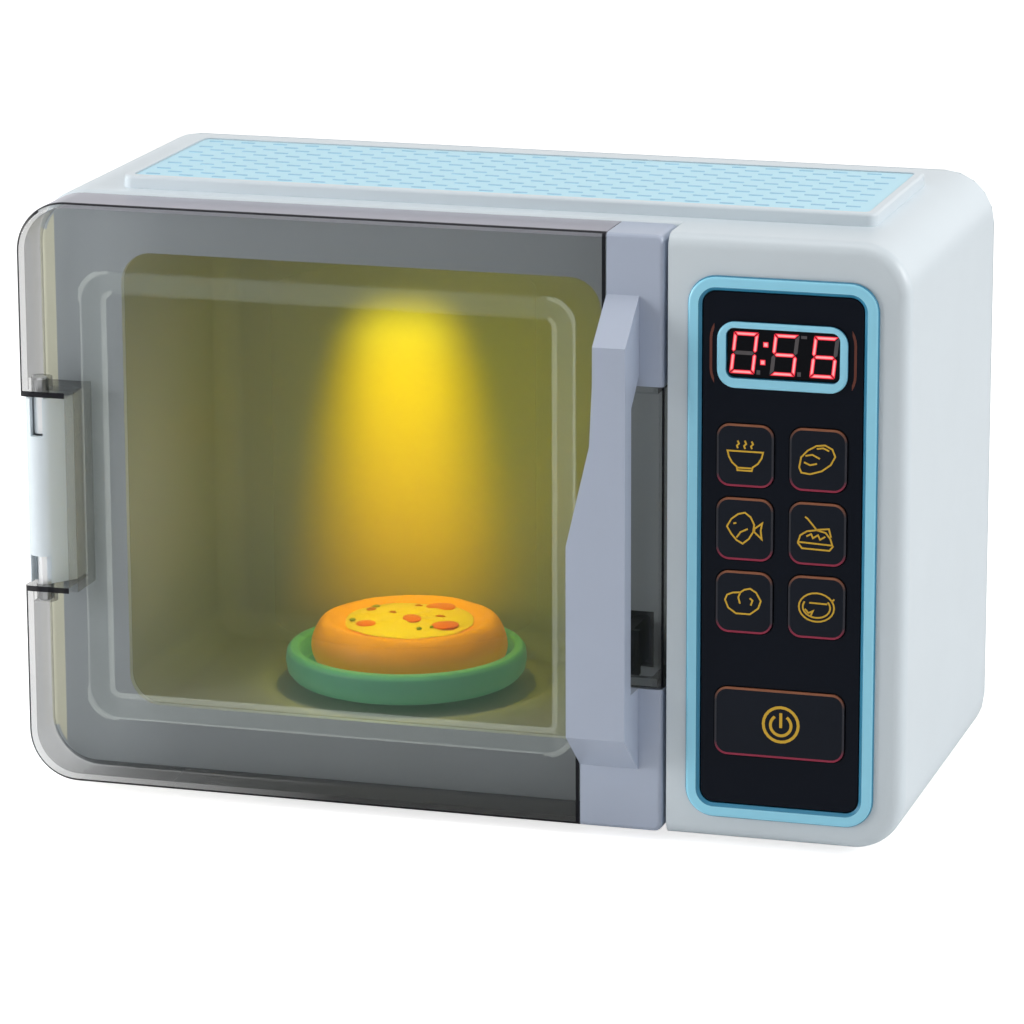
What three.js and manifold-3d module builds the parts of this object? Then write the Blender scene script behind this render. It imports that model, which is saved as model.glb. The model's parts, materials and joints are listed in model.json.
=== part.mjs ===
// Toy microwave: a battery toy with a swinging door, a turning plate, a key panel and a lamp.
// Millimetres. X runs right along the front, Y runs back from the front plane, Z runs up.
// All pieces are placed from the body's lower front left corner, and the group at the end
// moves them so that the origin lies under the middle of the whole toy, on the table.
import * as THREE from "three";
import { mergeVertices } from "three/addons/utils/BufferGeometryUtils.js";
import Module from "manifold-3d";

const wasm = await Module();
wasm.setup();

// General values
const GAP = 0.3;
const OVERRUN = 1;
const WELD_DISTANCE = 0.0001;
const CORNER_STEPS = 5;
const FILLET_STEPS = 3;
const ROD_SIDES = 20;
const DISC_SIDES = 32;
const SMALL_ROD_SIDES = 10;
const SCREW_SIDES = 8;
const LAMP_SIDES = 14;
const CELL_SIDES = 16;
const QUARTER_TURN = Math.PI / 2;
const FULL_TURN = Math.PI * 2;

// Body
const BODY_WIDTH = 255;
const BODY_HEIGHT = 169;
const SHELL_BACK = 111.3;
const BODY_CORNER = 14.5;
const SHELL_WALL = 2.2;
const FRONT_FILLET = 4;
const CONTROL_SIDE = 66.6;
const RECESS_DEPTH = 16.8;
const RECESS_FILLET = 2.5;

// Plateau on the top, with the panel let into it
const PLATEAU_LEFT = 23.3;
const PLATEAU_RIGHT_MARGIN = 14.9;
const PLATEAU_FRONT = 23.1;
const PLATEAU_BACK_MARGIN = 23.1;
const PLATEAU_RISE = 3.6;
const PLATEAU_CORNER = 3;
const PLATEAU_CHAMFER = 0.7;
const PLATEAU_RIM = 2.5;
const PANEL_POCKET = 2;
const PANEL_THICKNESS = 1.5;

// Chamber
const CHAMBER_LEFT = 25;
const CHAMBER_RIGHT_MARGIN = 23.4;
const CHAMBER_FLOOR = 20;
const CHAMBER_TOP_MARGIN = 17;
const CHAMBER_BACK_MARGIN = 13.3;
const CHAMBER_CORNER = 9;
const CHAMBER_BACK_FILLET = 8;
const LINER_WALL = 1.8;
const LINER_FLANGE = 4;
const CHAMBER_RIB_THICKNESS = 1.6;
const CHAMBER_RIB_INSET = 15;
const MOTOR_RIB_CLEARANCE = 16.85;
const CHAMBER_RIB_FRONT = 30;
const CHAMBER_RIB_BACK_MARGIN = 8;

// Hinge on the left side
const HINGE_X = 4.6;
const HINGE_Y = 4.6;
const KNUCKLE_RADIUS = 4.2;
const KNUCKLE_PLAY = 0.6;
const KNUCKLE_LEFT = 0.4;
const KNUCKLE_RIGHT = 12.7;
const KNUCKLE_SHOULDER_Y = 8.6;
const UPPER_SLOT_WIDTH = 3.7;
const LOWER_SLOT_WIDTH = 6;
const UPPER_SLOT_LENGTH = 11;
const LOWER_SLOT_LENGTH = 8;
const PIN_RADIUS = 2.2;
const PIN_GRIP = 11;
const PIN_CHAMFER = 0.5;

// Door
const DOOR_RIGHT_GAP = 1.2;
const DOOR_BOTTOM = 0.4;
const DOOR_TOP_GAP = 0.6;
const DOOR_DEPTH = 16.3;
const DOOR_WALL = 1.8;
const DOOR_FACE = 2.2;
const DOOR_RIGHT_CORNER = 2.4;
const DOOR_INNER_CORNER = 0.6;
const DOOR_FILLET = 1.5;
const DOOR_BACK_CHAMFER = 1;
const DOOR_BACK_CHAMFER_WIDTH = 3;
const NOTCH_RIGHT = 13.5;
const NOTCH_BOTTOM = 57.5;
const NOTCH_TOP = 112.5;
const EAR_THICKNESS = 1.6;
const PIN_SOCKET = 5;
const DOOR_BOSS_RADIUS = 3.5;
const WINDOW_LEFT = 18.5;
const WINDOW_RIGHT_MARGIN = 24.8;
const WINDOW_BOTTOM = 19.9;
const WINDOW_TOP_MARGIN = 18.8;
const WINDOW_CORNER = 9;
const WINDOW_BORDER = 6.5;
const WINDOW_DEPTH = 2.5;

// Handle, one moulding: an upper pad, a lower pad and the grip between them
const UPPER_PAD_WIDTH = 16;
const UPPER_PAD_HEIGHT = 41.9;
const LOWER_PAD_WIDTH = 23.4;
const LOWER_PAD_TOP = 41.3;
const PAD_THICKNESS = 2;
const GRIP_RIGHT_MARGIN = 6.8;
const GRIP_FRONT = 14.5;
const GRIP_THICKNESS = 6.5;
const GRIP_JOG_MARGIN = 16.8;
const GRIP_JOG_DROP = 56.1;
const GRIP_JOG_LENGTH = 28.3;
const GRIP_ROOT_DROP = 16.9;
const GRIP_SHOULDER_DROP = 28.6;
const GRIP_SHOULDER_BOTTOM = 30.1;
const GRIP_ROOT_BOTTOM = 18.2;
const GRIP_INSIDE_DROP = 46.4;
const GRIP_THROAT_DROP = 38.9;
const GRIP_THROAT_BOTTOM = 41.6;
const GRIP_CHAMFER = 0.9;
const HANDLE_SCREW_RADIUS = 1.4;
const HANDLE_SCREW_HEAD_RADIUS = 2.9;
const HANDLE_SCREW_HEAD = 1.8;
const HANDLE_SCREW_LENGTH = 8;
const UPPER_SCREW_DROP = 27.8;
const LOWER_SCREW_HEIGHT = 27;
const HANDLE_SCREW_MARGIN = 11.7;

// Door catch: a tongue on the door and its striker in the recess wall
const CATCH_MARGIN = 12.5;
const CATCH_BOTTOM = 44.4;
const CATCH_TOP = 57;
const CATCH_WIDTH = 3.2;
const CATCH_REACH = 5.8;
const CATCH_BASE = 1.8;
const CATCH_BASE_MARGIN = 2;
const CATCH_NOSE = 1.2;
const STRIKER_SWING = 0.9;
const STRIKER_MARGIN = 3;
const STRIKER_WALL = 1.4;
const STRIKER_LENGTH = 5;

// Control side: bezel, panel, keys and display share one centre line
const CONTROL_MARGIN = 34.6;
const BEZEL_WIDTH = 52.8;
const BEZEL_BOTTOM = 6.6;
const BEZEL_TOP_MARGIN = 10.6;
const BEZEL_CORNER = 8;
const BEZEL_BAND = 4;
const BEZEL_RISE = 1;
const BEZEL_EDGE = 0.5;
const BEZEL_SEAT = 2;
const BEZEL_LEDGE = 1.6;
const BEZEL_LEDGE_THICKNESS = 1.2;
const CONTROL_PANEL_FRONT = -0.4;
const CONTROL_PANEL_THICKNESS = 2;
const DISPLAY_SHARE = 0.8597;
const DISPLAY_RING_WIDTH = 36.1;
const DISPLAY_RING_HEIGHT = 18.3;
const DISPLAY_RING_CORNER = 5;
const DISPLAY_RING_BAND = 2.6;
const DISPLAY_RING_RISE = 0.7;
const DISPLAY_RING_WALL = 1.1;
const WINDOW_PANE_THICKNESS = 1.6;
const WINDOW_PANE_SINK = 0.4;
const KEY_WIDTH = 15.7;
const KEY_CORNER = 3.5;
const KEY_GAP_X = 4.5;
const KEY_GAP_Z = 3.3;
const KEY_ROW_COUNT = 3;
const KEYS_TOP_SHARE = 0.7332;
const KEYS_BOTTOM_SHARE = 0.3498;
const POWER_KEY_MARGIN = 0.3;
const POWER_KEY_HEIGHT = 19.1;
const POWER_KEY_SHARE = 0.1838;
const KEY_FRONT = -0.9;
const KEY_ROUNDING = 0.6;
const KEY_HOLE_CLEARANCE = 0.4;
const KEY_FLANGE = 1.2;
const KEY_FLANGE_THICKNESS = 1;
const KEY_STEM = 5;
const KEY_STEM_LENGTH = 0.7;
const KEY_TRAVEL = 1.2;
const MAT_DOME = 0.6;
const MAT_THICKNESS = 0.6;
const MAT_DOME_SIZE = 6;
const BOARD_THICKNESS = 1.6;
const BOARD_OVERLAP_X = 2.8;
const BOARD_INSET_Z = 1.8;
const BOARD_BOSS_RADIUS = 2.2;
const BOARD_SCREW_REACH = 0.4;
const BOARD_SCREW_INSET = 3.4;
const BOARD_SCREW_RADIUS = 1.1;
const BOARD_SCREW_HEAD_RADIUS = 2;
const BOARD_SCREW_HEAD = 1.2;
const BOARD_SCREW_LENGTH = 5;

// Lamp over the turntable
const LAMP_DROP = 8;
const LAMP_RADIUS = 8;
const LAMP_WALL = 1;
const LAMP_FLANGE = 2;
const LAMP_FLANGE_THICKNESS = 1.5;
const LAMP_BOARD_LENGTH = 26;
const LAMP_BOARD_WIDTH = 16;
const LED_RADIUS = 2.5;
const LED_LENGTH = 5;

// Turntable and its drive under the chamber
const TABLE_OFFSET_Y = 0.5;
const PLATE_CLEARANCE = 4.5;
const PLATE_LIFT = 2;
const PLATE_HEIGHT = 9.7;
const PLATE_LIP = 5;
const PLATE_WELL_DEPTH = 5.9;
const SPINDLE_RADIUS = 2;
const SPINDLE_COLLAR_RADIUS = 3.2;
const SPINDLE_HEAD_RADIUS = 6;
const SPINDLE_HEAD_HEIGHT = 3;
const SPINDLE_HEAD_SIDES = 6;
const BUSH_RADIUS = 4.4;
const BUSH_HEIGHT = 5.4;
const BUSH_RING = 1.6;
const BUSH_RING_HEIGHT = 2.4;
const GEAR_MODULE = 1.2;
const GEAR_TEETH = 40;
const PINION_TEETH = 10;
const GEAR_BACKLASH = 0.3;
const GEAR_TIP_CLEARANCE = 0.25;
const GEAR_DROP = 9;
const GEAR_THICKNESS = 3.5;
const GEAR_SPREAD = 0.15;
const PINION_OVERLAP = 0.6;
const MOTOR_RADIUS = 12;
const MOTOR_HEIGHT = 7;
const MOTOR_SHAFT_RADIUS = 1;
const MOTOR_RING = 1.4;
const MOTOR_RING_HEIGHT = 3;

// Toy pizza
const CRUST_CLEARANCE = 1.2;
const CRUST_HEIGHT = 14.2;
const PIZZA_SHIFT = 1;
const CRUST_BAND = 8.8;
const CRUST_WELL_DEPTH = 2.4;
const TOPPING_CROWN = 2.2;

// Rear cover
const COVER_THICKNESS = 1.9;
const COVER_FILLET = 1.2;
const COVER_RIM = 3;
const COVER_RIM_WALL = 1.6;
const COVER_SCREW_INSET_X = 22;
const COVER_SCREW_INSET = 7.4;
const WELL_RADIUS = 4.4;
const WELL_BORE = 3.3;
const WELL_DEPTH = 4.6;
const WELL_FLOOR = 1.5;
const COVER_BOSS_RADIUS = 3.4;
const COVER_BOSS_LENGTH = 16.7;
const COVER_SCREW_RADIUS = 1.4;
const COVER_SCREW_HEAD_RADIUS = 2.9;
const COVER_SCREW_HEAD = 2;
const COVER_SCREW_LENGTH = 13;
const LINER_STOP_WIDTH = 50;
const LINER_STOP_THICKNESS = 1.6;
const LINER_STOP_RISE = 30;
const LINER_STOP_DROP = 12;
const VENT_COUNT = 7;
const VENT_INSET = 15;
const VENT_LENGTH = 70;
const VENT_WIDTH = 3;
const VENT_PITCH = 6.4;
const VENT_BOTTOM = 58;

// Speaker behind the rear cover
const SPEAKER_INSET = 35;
const SPEAKER_Z = 121;
const SPEAKER_RADIUS = 14;
const SPEAKER_DEPTH = 5.2;
const SPEAKER_MAGNET_RADIUS = 7;
const SPEAKER_MAGNET_DEPTH = 3;
const SPEAKER_RING = 1.5;
const SPEAKER_SLOT_COUNT = 5;
const SPEAKER_SLOT_WIDTH = 2.4;
const SPEAKER_SLOT_PITCH = 4.8;

// Battery compartment in the rear cover, three AA cells side by side
const CELL_RADIUS = 7.25;
const CELL_LENGTH = 50.5;
const CELL_NUB_RADIUS = 2.7;
const CELL_NUB = 1.2;
const CELL_COUNT = 3;
const CELL_PITCH = 16;
const BAY_SIDE_CLEARANCE = 0.9;
const BAY_BOTTOM = 60.5;
const BAY_WALL = 1.6;
const BAY_CORNER = 0.6;
const CONTACT_THICKNESS = 0.8;
const CONTACT_NUB = 1.6;
const CONTACT_NUB_RADIUS = 2.4;
const BAY_LEDGE = 2.2;
const BAY_DOOR_THICKNESS = 1.8;
const BAY_DOOR_TONGUE = 10;
const BAY_SCREW_INSET = 5;
const BAY_SCREW_RADIUS = 1.2;
const BAY_SCREW_HEAD_RADIUS = 2.4;
const BAY_SCREW_HEAD = 1;
const BAY_SCREW_LENGTH = 6;
const BAY_BOSS_RADIUS = 3.2;
const BAY_BOSS_LENGTH = 8;

// Feet
const FOOT_RADIUS = 6;
const FOOT_DROP = 2;
const FOOT_SOCKET = 1;
const FOOT_INSET = 24;
const FOOT_FRONT = 30;
const FOOT_BACK_INSET = 13.3;
const FOOT_CHAMFER = 0.6;

// Places that follow from the values above
const RECESS_RIGHT = BODY_WIDTH - CONTROL_SIDE;
const FASCIA_BACK = RECESS_DEPTH + SHELL_WALL;
const COVER_FRONT = SHELL_BACK + GAP;
const COVER_BACK = COVER_FRONT + COVER_THICKNESS;
const PLATEAU_RIGHT = BODY_WIDTH - PLATEAU_RIGHT_MARGIN;
const PLATEAU_BACK = SHELL_BACK - PLATEAU_BACK_MARGIN;
const CHAMBER_RIGHT = RECESS_RIGHT - CHAMBER_RIGHT_MARGIN;
const CHAMBER_CEILING = BODY_HEIGHT - CHAMBER_TOP_MARGIN;
const CHAMBER_BACK = SHELL_BACK - CHAMBER_BACK_MARGIN;
const CHAMBER_RIB_BACK = CHAMBER_BACK - CHAMBER_RIB_BACK_MARGIN;
const DOOR_RIGHT = RECESS_RIGHT - DOOR_RIGHT_GAP;
const DOOR_TOP = BODY_HEIGHT - DOOR_TOP_GAP;
const WINDOW_RIGHT = DOOR_RIGHT - WINDOW_RIGHT_MARGIN;
const WINDOW_TOP = DOOR_TOP - WINDOW_TOP_MARGIN;
const UPPER_PAD_LEFT = DOOR_RIGHT - UPPER_PAD_WIDTH;
const UPPER_PAD_BOTTOM = DOOR_TOP - UPPER_PAD_HEIGHT;
const LOWER_PAD_LEFT = DOOR_RIGHT - LOWER_PAD_WIDTH;
const GRIP_RIGHT = DOOR_RIGHT - GRIP_RIGHT_MARGIN;
const GRIP_LOWER_LEFT = LOWER_PAD_LEFT;
const GRIP_JOG_LEFT = DOOR_RIGHT - GRIP_JOG_MARGIN;
const GRIP_JOG_TOP = DOOR_TOP - GRIP_JOG_DROP;
const GRIP_JOG_BOTTOM = GRIP_JOG_TOP - GRIP_JOG_LENGTH;
const GRIP_ROOT_TOP = DOOR_TOP - GRIP_ROOT_DROP;
const GRIP_SHOULDER_TOP = DOOR_TOP - GRIP_SHOULDER_DROP;
const GRIP_INSIDE_TOP = DOOR_TOP - GRIP_INSIDE_DROP;
const GRIP_THROAT_TOP = DOOR_TOP - GRIP_THROAT_DROP;
const UPPER_SCREW_HEIGHT = DOOR_TOP - UPPER_SCREW_DROP;
const HANDLE_SCREW_X = DOOR_RIGHT - HANDLE_SCREW_MARGIN;
const CATCH_LEFT = DOOR_RIGHT - CATCH_MARGIN;
const CATCH_BACK = RECESS_DEPTH + CATCH_REACH;
const LINER_FRONT = FASCIA_BACK + GAP;
const LINER_BOTTOM = CHAMBER_FLOOR - LINER_WALL;
const LINER_TOP = CHAMBER_CEILING + LINER_WALL;
const PLATEAU_TOP = BODY_HEIGHT + PLATEAU_RISE;
const POCKET_FLOOR = PLATEAU_TOP - PANEL_POCKET;
const CONTROL_X = BODY_WIDTH - CONTROL_MARGIN;
const BEZEL_TOP = BODY_HEIGHT - BEZEL_TOP_MARGIN;
const BEZEL_MIDDLE = (BEZEL_BOTTOM + BEZEL_TOP) / 2;
const BEZEL_HEIGHT = BEZEL_TOP - BEZEL_BOTTOM;
const DISPLAY_HEIGHT = BEZEL_BOTTOM + BEZEL_HEIGHT * DISPLAY_SHARE;
const KEYS_TOP = BEZEL_BOTTOM + BEZEL_HEIGHT * KEYS_TOP_SHARE;
const KEYS_BOTTOM = BEZEL_BOTTOM + BEZEL_HEIGHT * KEYS_BOTTOM_SHARE;
const KEY_PITCH_X = KEY_WIDTH + KEY_GAP_X;
const KEY_PITCH_Z = (KEYS_TOP - KEYS_BOTTOM + KEY_GAP_Z) / KEY_ROW_COUNT;
const KEY_HEIGHT = KEY_PITCH_Z - KEY_GAP_Z;
const KEY_TOP_ROW = KEYS_TOP - KEY_HEIGHT / 2;
const POWER_KEY_WIDTH = KEY_PITCH_X + KEY_WIDTH + POWER_KEY_MARGIN;
const POWER_KEY_CENTRE = BEZEL_BOTTOM + BEZEL_HEIGHT * POWER_KEY_SHARE;
const BOARD_WIDTH = BEZEL_WIDTH + 2 * BOARD_OVERLAP_X;
const BOARD_SCREW_REACH_X = BEZEL_WIDTH / 2 + BOARD_SCREW_REACH;
const BOARD_BOTTOM = BEZEL_BOTTOM + BOARD_INSET_Z;
const BOARD_TOP = BEZEL_TOP - BOARD_INSET_Z;
const BEZEL_LEDGE_FRONT = CONTROL_PANEL_FRONT + CONTROL_PANEL_THICKNESS + GAP;
const BEZEL_BACK = BEZEL_LEDGE_FRONT + BEZEL_LEDGE_THICKNESS;
const KEY_FLANGE_FRONT = BEZEL_LEDGE_FRONT;
const KEY_STEM_BACK = KEY_FLANGE_FRONT + KEY_FLANGE_THICKNESS + KEY_STEM_LENGTH;
const MAT_FRONT = KEY_STEM_BACK + KEY_TRAVEL + GAP;
const MAT_BACK = MAT_FRONT + MAT_DOME + MAT_THICKNESS;
const BOARD_FRONT = MAT_BACK + GAP;
const BOARD_BACK = BOARD_FRONT + BOARD_THICKNESS;
const KNUCKLE_BOTTOM = NOTCH_BOTTOM + KNUCKLE_PLAY;
const KNUCKLE_TOP = NOTCH_TOP - KNUCKLE_PLAY;
const TABLE_X = (CHAMBER_LEFT + CHAMBER_RIGHT) / 2;
const TABLE_Y = (FASCIA_BACK + CHAMBER_BACK) / 2 - TABLE_OFFSET_Y;
const PLATE_RADIUS = (CHAMBER_BACK - FASCIA_BACK) / 2 - PLATE_CLEARANCE;
const PLATE_BOTTOM = CHAMBER_FLOOR + PLATE_LIFT;
const PLATE_TOP = PLATE_BOTTOM + PLATE_HEIGHT;
const PLATE_WELL_RADIUS = PLATE_RADIUS - PLATE_LIP;
const PLATE_WELL = PLATE_TOP - PLATE_WELL_DEPTH;
const CRUST_RADIUS = PLATE_WELL_RADIUS - CRUST_CLEARANCE;
const CRUST_WELL_RADIUS = CRUST_RADIUS - CRUST_BAND;
const GEAR_BOTTOM = CHAMBER_FLOOR - GEAR_DROP;
const GEAR_RADIUS = GEAR_MODULE * GEAR_TEETH / 2;
const PINION_RADIUS = GEAR_MODULE * PINION_TEETH / 2;
const MOTOR_X = TABLE_X + GEAR_RADIUS + PINION_RADIUS + GEAR_SPREAD;
const BASE_FLOOR = SHELL_WALL;
const COVER_SCREW_RIGHT = BODY_WIDTH - COVER_SCREW_INSET_X;
const WELL_FLOOR_FRONT = COVER_FRONT - WELL_DEPTH;
const COVER_BOSS_BACK = WELL_FLOOR_FRONT - GAP;
const COVER_BOSS_FRONT = COVER_BOSS_BACK - COVER_BOSS_LENGTH;
const VENT_LEFT = CHAMBER_LEFT + VENT_INSET;
const VENT_RIGHT = VENT_LEFT + VENT_LENGTH;
const SPEAKER_X = CHAMBER_LEFT + SPEAKER_INSET;
const FOOT_RIGHT = BODY_WIDTH - FOOT_INSET;
const FOOT_BACK = SHELL_BACK - FOOT_BACK_INSET;
const BAY_WIDTH = CELL_COUNT * CELL_PITCH + BAY_SIDE_CLEARANCE;
const BAY_HEIGHT = CELL_LENGTH + 2 * (CONTACT_THICKNESS + CONTACT_NUB + 2 * GAP);
const BAY_TOP = BAY_BOTTOM + BAY_HEIGHT;
const BAY_LEDGE_FACE = COVER_BACK - GAP - BAY_DOOR_THICKNESS - GAP;
const BAY_FLOOR = BAY_LEDGE_FACE - 2 * (CELL_RADIUS + GAP);
const BAY_SCREW_Z = BAY_TOP + BAY_SCREW_INSET;
const CRUST_BOTTOM = PLATE_WELL + GAP;
const WHOLE_MIDDLE_Y = (COVER_BACK - GRIP_FRONT) / 2;

// Finishes
function finish(color, roughness, metalness = 0) {
  return new THREE.MeshStandardMaterial({ color, roughness, metalness });
}

const WHITE_PLASTIC = finish(0xe9eef0, 0.38);
const BLUE_PLASTIC = finish(0xa6d8ec, 0.35);
const BLACK_PANEL = finish(0x10151f, 0.3);
const GREY_PLASTIC = finish(0xb3bac8, 0.36);
const LINER_PLASTIC = finish(0x9a9a88, 0.45);
const SMOKY_PLASTIC = new THREE.MeshStandardMaterial({
  color: 0x55585a,
  roughness: 0.12,
  transparent: true,
  opacity: 0.5,
});
const GREEN_PLASTIC = finish(0x45b07a, 0.35);
const CRUST_PLASTIC = finish(0xe39a2a, 0.55);
const TOPPING_PLASTIC = finish(0xf0cf3a, 0.5);
const LENS_PLASTIC = finish(0xf2efe0, 0.25);
const DARK_PLASTIC = finish(0x23262b, 0.5);
const MOTOR_STEEL = finish(0x9a9da0, 0.35, 1);
const SCREW_STEEL = finish(0xb9bcc0, 0.3, 1);
const CONTACT_STEEL = finish(0xc8c9c4, 0.3, 1);
const BOARD_GREEN = finish(0x1f6b44, 0.5);
const RUBBER = finish(0x2b2c2e, 0.85);
const NYLON = finish(0xe6e2d4, 0.5);
const CELL_SLEEVE = finish(0x2f5f9a, 0.35);

// Solids from geometries
function solid(geometry) {
  const bare = geometry.clone();
  bare.deleteAttribute("normal");
  bare.deleteAttribute("uv");
  const merged = mergeVertices(bare, WELD_DISTANCE);
  const corners = merged.index.array;
  const kept = [];
  for (let i = 0; i < corners.length; i += 3) {
    const [a, b, c] = corners.subarray(i, i + 3);
    if (a !== b && b !== c && c !== a) kept.push(a, b, c);
  }
  return new wasm.Manifold(
    new wasm.Mesh({
      numProp: 3,
      vertProperties: merged.attributes.position.array,
      triVerts: new Uint32Array(kept),
    }),
  );
}

function join(...shapes) {
  return shapes.reduce((whole, shape) => whole.add(shape));
}

function cut(shape, ...tools) {
  return tools.reduce((rest, tool) => rest.subtract(tool), shape);
}

function piece(name, shape, material) {
  const made = shape.getMesh();
  const geometry = new THREE.BufferGeometry();
  const points = new Float32Array(made.vertProperties);
  geometry.setAttribute("position", new THREE.BufferAttribute(points, made.numProp));
  geometry.setIndex(new THREE.BufferAttribute(new Uint32Array(made.triVerts), 1));
  const flat = geometry.toNonIndexed();
  flat.computeVertexNormals();
  const mesh = new THREE.Mesh(flat, material);
  mesh.name = name;
  return mesh;
}

// Outlines are lists of points, anticlockwise
function arc(x, y, radius, from, steps) {
  return Array.from({ length: steps + 1 }, (_, i) => {
    const angle = from + (QUARTER_TURN * i) / steps;
    return new THREE.Vector2(x + radius * Math.cos(angle), y + radius * Math.sin(angle));
  });
}

function circle(x, y, radius, sides) {
  return Array.from({ length: sides }, (_, i) => {
    const angle = (FULL_TURN * i) / sides;
    return new THREE.Vector2(x + radius * Math.cos(angle), y + radius * Math.sin(angle));
  });
}

// Corner radii run lower right, upper right, upper left, lower left
function roundedRect(left, low, right, high, radii, steps = CORNER_STEPS) {
  const [a, b, c, d] = Array.isArray(radii) ? radii : [radii, radii, radii, radii];
  return [
    ...arc(right - a, low + a, a, -QUARTER_TURN, steps),
    ...arc(right - b, high - b, b, 0, steps),
    ...arc(left + c, high - c, c, QUARTER_TURN, steps),
    ...arc(left + d, low + d, d, 2 * QUARTER_TURN, steps),
  ];
}

function centredRect(x, y, width, height, radius, steps = CORNER_STEPS) {
  const halfWidth = width / 2;
  const halfHeight = height / 2;
  return roundedRect(
    x - halfWidth, y - halfHeight, x + halfWidth, y + halfHeight, radius, steps,
  );
}

function polygon(points) {
  return points.map(([x, y]) => new THREE.Vector2(x, y));
}

// An outline in X and Y, drawn up along Z
function prismZ(outline, low, high) {
  const options = { depth: high - low, bevelEnabled: false };
  return solid(
    new THREE.ExtrudeGeometry(new THREE.Shape(outline), options).translate(0, 0, low),
  );
}

// An outline in X and Z, drawn back along Y
function prismY(outline, front, back) {
  const options = { depth: back - front, bevelEnabled: false };
  return solid(
    new THREE.ExtrudeGeometry(new THREE.Shape(outline), options)
      .rotateX(QUARTER_TURN)
      .translate(0, back, 0),
  );
}

// An outline in Y and Z, drawn right along X
function prismX(outline, left, right) {
  const turned = new THREE.Matrix4().makeBasis(
    new THREE.Vector3(0, 1, 0),
    new THREE.Vector3(0, 0, 1),
    new THREE.Vector3(1, 0, 0),
  );
  const options = { depth: right - left, bevelEnabled: false };
  return solid(
    new THREE.ExtrudeGeometry(new THREE.Shape(outline), options)
      .applyMatrix4(turned)
      .translate(left, 0, 0),
  );
}

function box(left, right, front, back, low, high) {
  return solid(
    new THREE.BoxGeometry(right - left, back - front, high - low)
      .translate((left + right) / 2, (front + back) / 2, (low + high) / 2),
  );
}

function rodZ(x, y, radius, low, high, sides = ROD_SIDES) {
  return prismZ(circle(x, y, radius, sides), low, high);
}

function rodY(x, z, radius, front, back, sides = ROD_SIDES) {
  return prismY(circle(x, z, radius, sides), front, back);
}

// A skin over outlines of equal point counts, stacked by height along Z
function stack(layers) {
  const count = layers[0].outline.length;
  const points = layers.flatMap(({ height, outline }) =>
    outline.map((p) => [p.x, p.y, height]),
  );
  const lowCentre = middleOf(layers[0]);
  const highCentre = middleOf(layers[layers.length - 1]);
  const faces = [];
  for (let i = 0; i + 1 < layers.length; i += 1) {
    for (let j = 0; j < count; j += 1) {
      const a = i * count + j;
      const b = i * count + ((j + 1) % count);
      faces.push([a, b, a + count], [b, b + count, a + count]);
    }
  }
  const lowIndex = points.length;
  const highIndex = lowIndex + 1;
  const lastRing = (layers.length - 1) * count;
  for (let j = 0; j < count; j += 1) {
    const next = (j + 1) % count;
    faces.push([lowIndex, next, j], [highIndex, lastRing + j, lastRing + next]);
  }
  points.push(lowCentre, highCentre);
  const geometry = new THREE.BufferGeometry();
  geometry.setAttribute("position", new THREE.Float32BufferAttribute(points.flat(), 3));
  geometry.setIndex(faces.flat());
  return geometry;
}

function middleOf({ height, outline }) {
  const sum = outline.reduce((total, p) => total.add(p), new THREE.Vector2());
  sum.divideScalar(outline.length);
  return [sum.x, sum.y, height];
}

function loftZ(layers) {
  return solid(stack(layers));
}

// Layers carry their own y and run from front to back
function loftY(layers) {
  const turned = layers.map(({ y, outline }) => ({ height: -y, outline })).reverse();
  return solid(stack(turned).rotateX(QUARTER_TURN));
}

// A profile of radius and height, turned about the vertical axis, lowest point first
function turned(profile, sides = ROD_SIDES) {
  const points = profile.map(([radius, height]) => new THREE.Vector2(radius, height));
  return solid(new THREE.LatheGeometry(points, sides).rotateX(QUARTER_TURN));
}

// Layers of a block whose front edge is rounded: outlineAt(inset) gives its outline
function roundedFront(outlineAt, front, fillet, back, steps = FILLET_STEPS) {
  const layers = Array.from({ length: steps + 1 }, (_, i) => {
    const angle = (QUARTER_TURN * i) / steps;
    return {
      y: front + fillet * (1 - Math.cos(angle)),
      outline: outlineAt(fillet * (1 - Math.sin(angle))),
    };
  });
  return loftY([...layers, { y: back, outline: outlineAt(0) }]);
}

function roundedBack(outlineAt, front, fillet, back, steps = FILLET_STEPS) {
  const layers = Array.from({ length: steps + 1 }, (_, i) => {
    const angle = (QUARTER_TURN * i) / steps;
    return {
      y: back - fillet * (1 - Math.sin(angle)),
      outline: outlineAt(fillet * (1 - Math.cos(angle))),
    };
  });
  return loftY([{ y: front, outline: outlineAt(0) }, ...layers]);
}

// Body outlines
function bodyOutline(inset) {
  return roundedRect(
    inset, inset, BODY_WIDTH - inset, BODY_HEIGHT - inset, BODY_CORNER - inset,
  );
}

function chamberOutline(grow) {
  return roundedRect(
    CHAMBER_LEFT - grow, CHAMBER_FLOOR - grow, CHAMBER_RIGHT + grow,
    CHAMBER_CEILING + grow, CHAMBER_CORNER + grow,
  );
}

function plateauOutline(inset) {
  return roundedRect(
    PLATEAU_LEFT + inset, PLATEAU_FRONT + inset, PLATEAU_RIGHT - inset,
    PLATEAU_BACK - inset, PLATEAU_CORNER - inset / 2,
  );
}

function bezelOutline(inset) {
  return centredRect(
    CONTROL_X, BEZEL_MIDDLE, BEZEL_WIDTH - 2 * inset, BEZEL_HEIGHT - 2 * inset,
    BEZEL_CORNER - inset,
  );
}

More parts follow.
